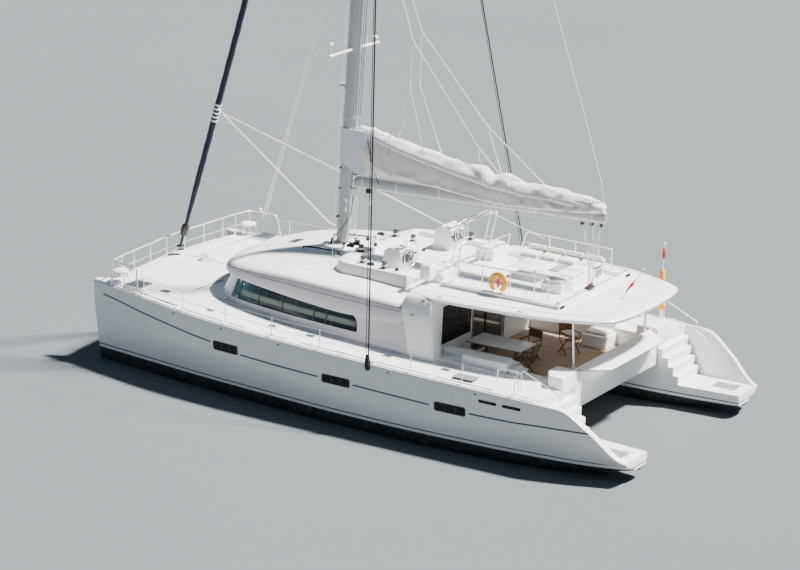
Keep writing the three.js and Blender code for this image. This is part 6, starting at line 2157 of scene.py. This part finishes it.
class BOAT_OT_cockpit(bpy.types.Operator):
    """Builds the cockpit: teak sole, aft coaming, seats and cushions, table, chairs and door frames"""

    bl_idname = "boat.cockpit"
    bl_label = "Cockpit"

    def execute(self, context):
        sole = Piece(*(box_of(*plan, SOLE_Z, SOLE_Z + 0.012, 0.003, 1) for plan in TEAK_PANELS))
        sole.done("cockpit_sole", "teak")

        rows = []
        for i in range(49):
            t = mix(-1, 1, i / 48)
            edge = coaming_edge(t, 0.0)
            section = [(-6.83, 0.97), *((mix(-6.84, edge, share), z) for share, z in COAMING_FACE),
                       (edge - 0.015, 2.075), (edge - 0.005, 2.1), (edge + 0.02, 2.11), *COAMING_FRONT]
            rows.append([(x, t * COAMING_HALF, z) for x, z in section])
        Piece(loft_of(rows)).done("coaming_shell", "gelcoat", "aft_coaming")
        line = [(coaming_edge(t, 0.012), t * COAMING_HALF, 2.068) for t in
                (mix(-0.97, 0.97, i / 40) for i in range(41))]
        handle = [(-7.28, 0.9, 1.9), (-7.34, 0.9, 1.97), (-7.34, 0.5, 1.97), (-7.28, 0.5, 1.9)]
        groove = Piece(tube_of(line, 0.011, 6), tube_of(handle, 0.012, 8, 0.03),
                       box_of(-7.3, -7.2, -0.3, 0.05, 1.99, 2.02, 0.01))
        groove.done("coaming_seam", "rubber")

        redress("cockpit_bench", "bench_base", "gelcoat", 0.03, 3)
        redress("cockpit_settee", "settee_base", "gelcoat", 0.03, 3)
        pads = Piece(*row_of_cushions(-6.72, -6.17, -1.88, 1.88, 1.715, 1.82, 5, "y"),
                     *row_of_cushions(-4.68, -2.5, 1.93, 2.58, 1.715, 1.82, 3))
        for i in range(3):
            x = -4.68 + 0.73 * i
            pads.add(cushion_at(x + 0.006, x + 0.72, 2.54, 2.66, 1.84, 2.1))
        pads.done("cockpit_cushions", "cushion", sharp=CUSHION_ANGLE)

        plan = [(-6.15, 2.6), (-6.15, 3.15), (-6.4, 3.6), (-6.86, 3.6), (-6.86, 2.62)]
        pedestal = plate_of([(x, y, 1.6) for x, y in plan], (0, 0, 0.56), 0.06, 4)
        Piece(pedestal).pair("pedestal_{}", "gelcoat")
        hoop = [(-5.25, 4.62, 1.86), (-5.3, 4.62, 2.42), (-5.95, 4.66, 2.44), (-6.0, 4.66, 1.86)]
        slope = [(-6.05, 4.6, 1.85), (-6.05, 4.6, 2.5), (-7.3, 4.58, 1.96), (-7.3, 4.58, 1.74)]
        rails = Piece(tube_of(hoop, 0.016, 10, 0.1), tube_of(slope, 0.016, 10, 0.08))
        rails.pair("boarding_rails_{}", "steel")
        step = Piece(box_of(-4.9, -3.4, 2.83, 3.35, 1.8, 2.14, 0.05, 4),
                     box_of(-5.35, -4.95, 2.83, 3.3, 1.78, 1.98, 0.04, 3))
        step.pair("side_step_{}", "gelcoat")
        # thin dark grey patches on the side deck and on the stern platform
        dark_patches = Piece(box_of(-4.5, -3.8, 4.2, 4.62, 1.86, 1.872, 0.004, 1),
                     box_of(-9.1, -8.35, 3.55, 4.1, 0.381, 0.392, 0.004, 1))
        dark_patches.pair("side_mats_{}", "shade_dark")

        Piece(box_of(-5.45, -4.6, -2.76, -2.02, SOLE_Z, 1.72, 0.05, 4)).done("side_seat", "gelcoat")
        pad = Piece(cushion_at(-5.42, -4.64, -2.7, -2.06, 1.71, 1.81))
        pad.done("side_seat_cushion", "cushion", sharp=CUSHION_ANGLE)

        top = Piece(box_of(-4.5, -2.7, 0.75, 1.75, 1.995, 2.04, 0.015, 3))
        top.done("table_top", "gelcoat", "cockpit_table")
        edge = [(-4.52, 0.73, 2.0), (-2.68, 0.73, 2.0), (-2.68, 1.77, 2.0), (-4.52, 1.77, 2.0)]
        under = Piece(tube_of(edge, 0.016, 8, closed=True))
        for x in (-4.1, -3.1):
            under.add(rod_of((x, 1.25, SOLE_Z + 0.01), (x, 1.25, 1.99), 0.05),
                      rod_of((x, 1.25, SOLE_Z + 0.012), (x, 1.25, SOLE_Z + 0.035), 0.17, sides=24))
        under.done("table_edge_and_legs", "joinery")

        wood = Piece()
        slung = Piece()
        for x, y, heading in ((-4.05, 0.25, 80), (-4.7, 1.7, 10), (-4.68, -1.1, 150)):
            frames, cloths = chair_at(x, y, heading)
            wood.add(*frames)
            slung.add(*cloths)
        wood.done("chair_frames", "chair_brown")
        slung.done("chair_cloth", "chair_cloth")

        redress("saloon_bulkhead", "bulkhead_panel", "gelcoat", 0.012)
        frames = Piece(box_of(-2.47, -2.405, -1.0, 1.0, 3.2, 3.26, 0.008))
        for y in (-1.0, 1.0):
            frames.add(box_of(-2.47, -2.405, y - 0.03, y + 0.03, SOLE_Z + 0.01, 3.24, 0.008))
        for y0, y1 in ((1.15, 2.5), (-2.5, -1.15)):
            around = [(-2.41, y0, 2.15), (-2.41, y1, 2.15), (-2.41, y1, 3.18), (-2.41, y0, 3.18)]
            frames.add(tube_of(around, 0.02, 8, 0.06), rod_of(around[0], around[-1], 0.02, sides=8))
        frames.done("door_frames", "dark_trim")
        panes = Piece(box_of(-2.472, -2.459, 1.13, 2.88, 2.12, 3.28, 0.004, 1))
        panes.mirror().done("bulkhead_windows", "dark_glass")
        return {"FINISHED"}


# foot of the danbuoy, and of the small buoy beside it
DANBUOY = (-5.86, -4.9)
FLOAT_PROFILE = [(0, 0), (0, 0.05), (0.04, 0.085), (0.42, 0.085), (0.48, 0.05), (0.5, 0.0)]
FLAG_PROFILE = [(0, 0.0), (0, 0.03), (0.1, 0.05), (0.3, 0.04), (0.36, 0.0)]


class BOAT_OT_stern(bpy.types.Operator):
    """Adds the danbuoys, stern fittings, keels, rudders and propellers"""

    bl_idname = "boat.stern"
    bl_label = "Stern and underwater gear"

    def execute(self, context):
        buoy = Piece(lathe_of(FLOAT_PROFILE, (*DANBUOY, 2.82)),
                     ball_of((-6.08, -4.53, 2.25), 0.13, (1, 0.7, 1.2)))
        buoy.done("danbuoy_float", "life_orange")
        pole = Piece(rod_of((*DANBUOY, 1.85), (*DANBUOY, 4.1), 0.014, sides=10),
                     ball_of((*DANBUOY, 4.14), 0.045),
                     rod_of((-6.08, -4.6, 1.8), (-6.08, -4.6, 2.3), 0.014, sides=10))
        pole.done("danbuoy_pole", "gelcoat")
        Piece(lathe_of(FLAG_PROFILE, (*DANBUOY, 3.66))).done("danbuoy_flag", "life_red")
        handles = Piece(tube_of([(-7.1, 4.66, 1.5), (-7.2, 4.7, 1.66), (-8.0, 4.68, 1.2), (-8.1, 4.62, 1.05)],
                                0.014, 10, 0.06))
        for y in (3.42, 3.78):
            handles.add(tube_of([(-9.3, y, 0.4), (-9.3, y, 0.5), (-9.0, y, 0.5), (-8.9, y, 0.4)],
                                0.014, 10, 0.06))
        handles.pair("stern_handles_{}", "steel")
        dressed("keel_port", 0.01).pair("keel_{}_fin", "antifouling", "keel_{}")
        dressed("rudder_port", 0.008).pair("rudder_{}_blade", "antifouling", "rudder_{}", "rudder_{}")
        propeller = Piece(node_copy("propeller_port"))
        propeller.pair("propeller_{}_blades", "bronze", "propeller_{}", "propeller_{}")
        dressed("shaft_bracket_port", 0.006).pair("shaft_{}_line", "bronze", "shaft_bracket_{}")
        return {"FINISHED"}


class BOAT_OT_inside(bpy.types.Operator):
    """Finishes the saloon furniture that shows through the glass, the bridgedeck and the foredeck"""

    bl_idname = "boat.inside"
    bl_label = "Saloon"

    def execute(self, context):
        redress("saloon_furniture", "saloon_joinery", "joinery", 0.02)
        redress("bridgedeck", "bridgedeck_skin", "gelcoat", 0.02)
        redress("foredeck", "foredeck_skin", "gelcoat", 0.02)
        return {"FINISHED"}


class BOAT_PT_looks(bpy.types.Panel):
    """Lists the steps that build the boat, and its sizes and colours"""

    bl_idname = "BOAT_PT_looks"
    bl_label = "Catamaran"
    bl_space_type = "VIEW_3D"
    bl_region_type = "UI"
    bl_category = "Boat"

    def draw(self, context):
        for name in CatamaranLooks.__annotations__:
            self.layout.prop(looks_of(context), name)
        for step in STEPS:
            self.layout.operator(step.bl_idname)


STEPS = (
    BOAT_OT_stage, BOAT_OT_materials, BOAT_OT_carried_over, BOAT_OT_hulls, BOAT_OT_topsides, BOAT_OT_deck,
    BOAT_OT_rails, BOAT_OT_deckhouse, BOAT_OT_coachroof, BOAT_OT_hardtop, BOAT_OT_mast, BOAT_OT_boom,
    BOAT_OT_sail_bag, BOAT_OT_ropes, BOAT_OT_headsail, BOAT_OT_helm, BOAT_OT_lounge,
    BOAT_OT_cockpit, BOAT_OT_stern, BOAT_OT_inside,
)


def register():
    for item in (CatamaranLooks, *STEPS, BOAT_PT_looks):
        bpy.utils.register_class(item)
    bpy.types.Scene.catamaran_looks = bpy.props.PointerProperty(type=CatamaranLooks)


def unregister():
    del bpy.types.Scene.catamaran_looks
    for item in (BOAT_PT_looks, *reversed(STEPS), CatamaranLooks):
        bpy.utils.unregister_class(item)


def main():
    register()
    for step in STEPS:
        area, name = step.bl_idname.split(".")
        getattr(getattr(bpy.ops, area), name)()


if __name__ == "__main__":
    main()
